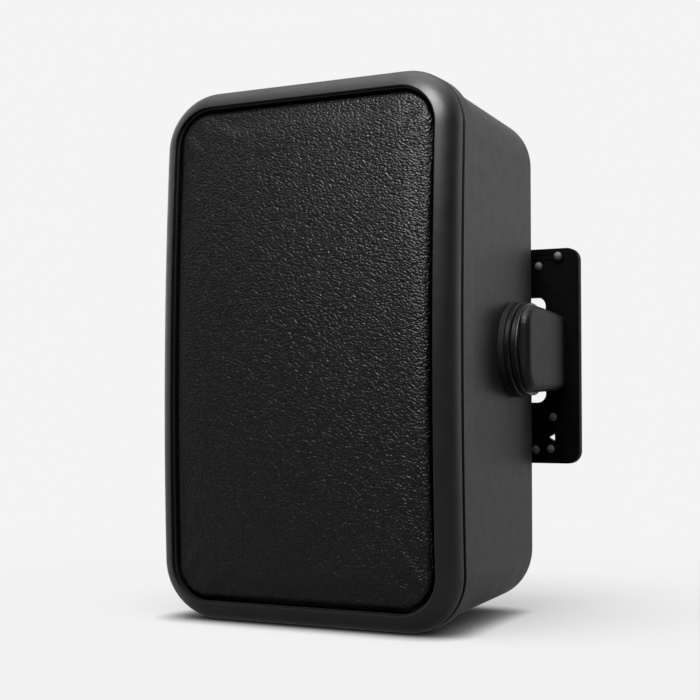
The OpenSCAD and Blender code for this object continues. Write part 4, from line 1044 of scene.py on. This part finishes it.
shadow_share = 0.5
near_gloss = 0.42
far_gloss = 0.5
floor_paint = bpy.data.materials.new("floor paint")
floor_paint.use_nodes = True
tree = floor_paint.node_tree
tree.nodes.remove(tree.nodes["Principled BSDF"])
rays = tree.nodes.new("ShaderNodeLightPath")
far_glow = add(tree, "ShaderNodeEmission", Strength=seen(tree, rays, backdrop_white, far_gloss))
near_level = seen(tree, rays, backdrop_white * (1 - shadow_share), near_gloss)
print("share of the floor that takes shadow:", shadow_share)

# %% Let the floor take real shadow and a painted contact shadow
chalk_tone = 0.465
painted_shadow_reach = 16 * mm
painted_shadow_depth = 1.6
# Painted contact shadow: an ambient occlusion node darkens the floor's glow and its chalk colour
# within this reach of the speaker.
painted_contact = add(tree, "ShaderNodeAmbientOcclusion", Distance=painted_shadow_reach,
              Color=(chalk_tone, chalk_tone, chalk_tone, 1))
painted_contact.samples = 8
painted_shadow_factor = math_node(tree, "POWER", painted_contact.outputs["AO"], painted_shadow_depth)
painted_shadow_factor = math_node(tree, "MAXIMUM", painted_shadow_factor, rays.outputs["Is Glossy Ray"])
near_level = math_node(tree, "MULTIPLY", near_level, painted_shadow_factor)
near_glow = add(tree, "ShaderNodeEmission", Strength=near_level)
# The chalk's colour carries the painted contact shadow: chalk_tone, darkened near the speaker.
chalk = add(tree, "ShaderNodeBsdfDiffuse", Color=painted_contact.outputs["Color"])
near_floor = tree.nodes.new("ShaderNodeAddShader")
tree.links.new(near_glow.outputs["Emission"], near_floor.inputs[0])
tree.links.new(chalk.outputs["BSDF"], near_floor.inputs[1])
print("contact shadow reaches, mm:", round(painted_shadow_reach / mm, 1))

# %% Fade the floor into the backdrop
fade_from = 0.18
fade_to = 0.6
from_speaker = add(tree, "ShaderNodeVectorMath", Vector=place(tree))
from_speaker.operation = "DISTANCE"
from_speaker.inputs[1].default_value = (middle.x, middle.y + cabinet_depth / 2, floor_z)
fade = add(tree, "ShaderNodeMapRange", Value=from_speaker.outputs["Value"])
fade.interpolation_type = "SMOOTHSTEP"
fade.inputs["From Min"].default_value = fade_from
fade.inputs["From Max"].default_value = fade_to
blend_floor = add(tree, "ShaderNodeMixShader", Fac=fade.outputs["Result"])
tree.links.new(near_floor.outputs["Shader"], blend_floor.inputs[1])
tree.links.new(far_glow.outputs["Emission"], blend_floor.inputs[2])
tree.links.new(blend_floor.outputs["Shader"], tree.nodes["Material Output"].inputs["Surface"])
floor.data.materials.append(floor_paint)
print("floor fades between, m:", fade_from, "and", fade_to)

# %% Build the studio's glowing walls
world = bpy.data.worlds.new("studio")
bpy.context.scene.world = world
world.use_nodes = True
tree = world.node_tree
direction = tree.nodes.new("ShaderNodeTexCoord")
towards = add(tree, "ShaderNodeSeparateXYZ", Vector=direction.outputs["Generated"])
dim_front = 0.03
bright_rear = 0.55
bright_top = 3.0
pale_left = 1.0


def card(tree, side, start, full, level):
    """A wall of the studio: its glow grows softly from start to full along one direction."""
    glow = add(tree, "ShaderNodeMapRange", Value=side)
    glow.interpolation_type = "SMOOTHSTEP"
    glow.inputs["From Min"].default_value = start
    glow.inputs["From Max"].default_value = full
    glow.inputs["To Min"].default_value = 0.0
    glow.inputs["To Max"].default_value = level
    return glow.outputs["Result"]


leftward = math_node(tree, "MULTIPLY", towards.outputs["X"], -1.0)
rear_card = card(tree, towards.outputs["Y"], start=0.0, full=0.6, level=bright_rear)
top_card = card(tree, towards.outputs["Z"], start=0.72, full=0.95, level=bright_top)
left_card = card(tree, leftward, start=0.5, full=0.8, level=pale_left)
cards = math_node(tree, "ADD", rear_card, dim_front)
cards = math_node(tree, "ADD", cards, top_card)
cards = math_node(tree, "ADD", cards, left_card)
print("walls: rear", bright_rear, "top", bright_top, "left", pale_left)

# %% Show each kind of ray its own surroundings
surround = 0.1
rays = tree.nodes.new("ShaderNodeLightPath")
views = {
    "Is Camera Ray": backdrop_white,
    "Is Transmission Ray": backdrop_white,
    "Is Glossy Ray": cards,
    "Is Diffuse Ray": surround,
}
total = 0.0
for ray, level in views.items():
    total = math_node(tree, "ADD", math_node(tree, "MULTIPLY", rays.outputs[ray], level), total)
background = tree.nodes["Background"]
background.inputs["Color"].default_value = (1, 1, 1, 1)
tree.links.new(total, background.inputs["Strength"])
print("kinds of rays:", len(views))


# %% Place the lamps
def aimed(name, data, place_at, facing):
    """Puts a light into the scene, turned to shine along a direction."""
    light = bpy.data.objects.new(name, data)
    turned = facing.to_track_quat("-Z", "Y").to_matrix().to_4x4()
    light.matrix_world = Matrix.Translation(place_at) @ turned
    bpy.context.scene.collection.objects.link(light)
    return light


def soft_sun(name, towards, strength, angle):
    """A wide sun, for diffuse light alone: even over the floor, with a soft shadow."""
    data = bpy.data.lights.new(name, "SUN")
    data.energy = strength
    data.angle = math.radians(angle)
    aimed(name, data, Vector(), -towards).visible_glossy = False


def lamp(name, place_at, aim, size, power, spread):
    """A square lamp that looks at a point, for gloss alone."""
    data = bpy.data.lights.new(name, "AREA")
    data.shape = "SQUARE"
    data.size = size
    data.energy = power
    data.spread = math.radians(spread)
    aimed(name, data, place_at, (aim - place_at).normalized()).visible_diffuse = False


key_place = middle + Vector((0.15, -0.21, 0.34))
key_aim = middle + Vector((0.06, 0, 0.12))
side_place = middle + Vector((0.9, 0.9, 0.3))
soft_sun("studio", Vector((-0.05, -0.27, 0.96)), strength=2.75, angle=48)
lamp("key", key_place, key_aim, size=0.2, power=0.92, spread=75)
lamp("side", side_place, middle, size=0.8, power=0.5, spread=80)
bpy.context.scene.view_settings.view_transform = "Standard"
print("lights:", len(bpy.data.lights))
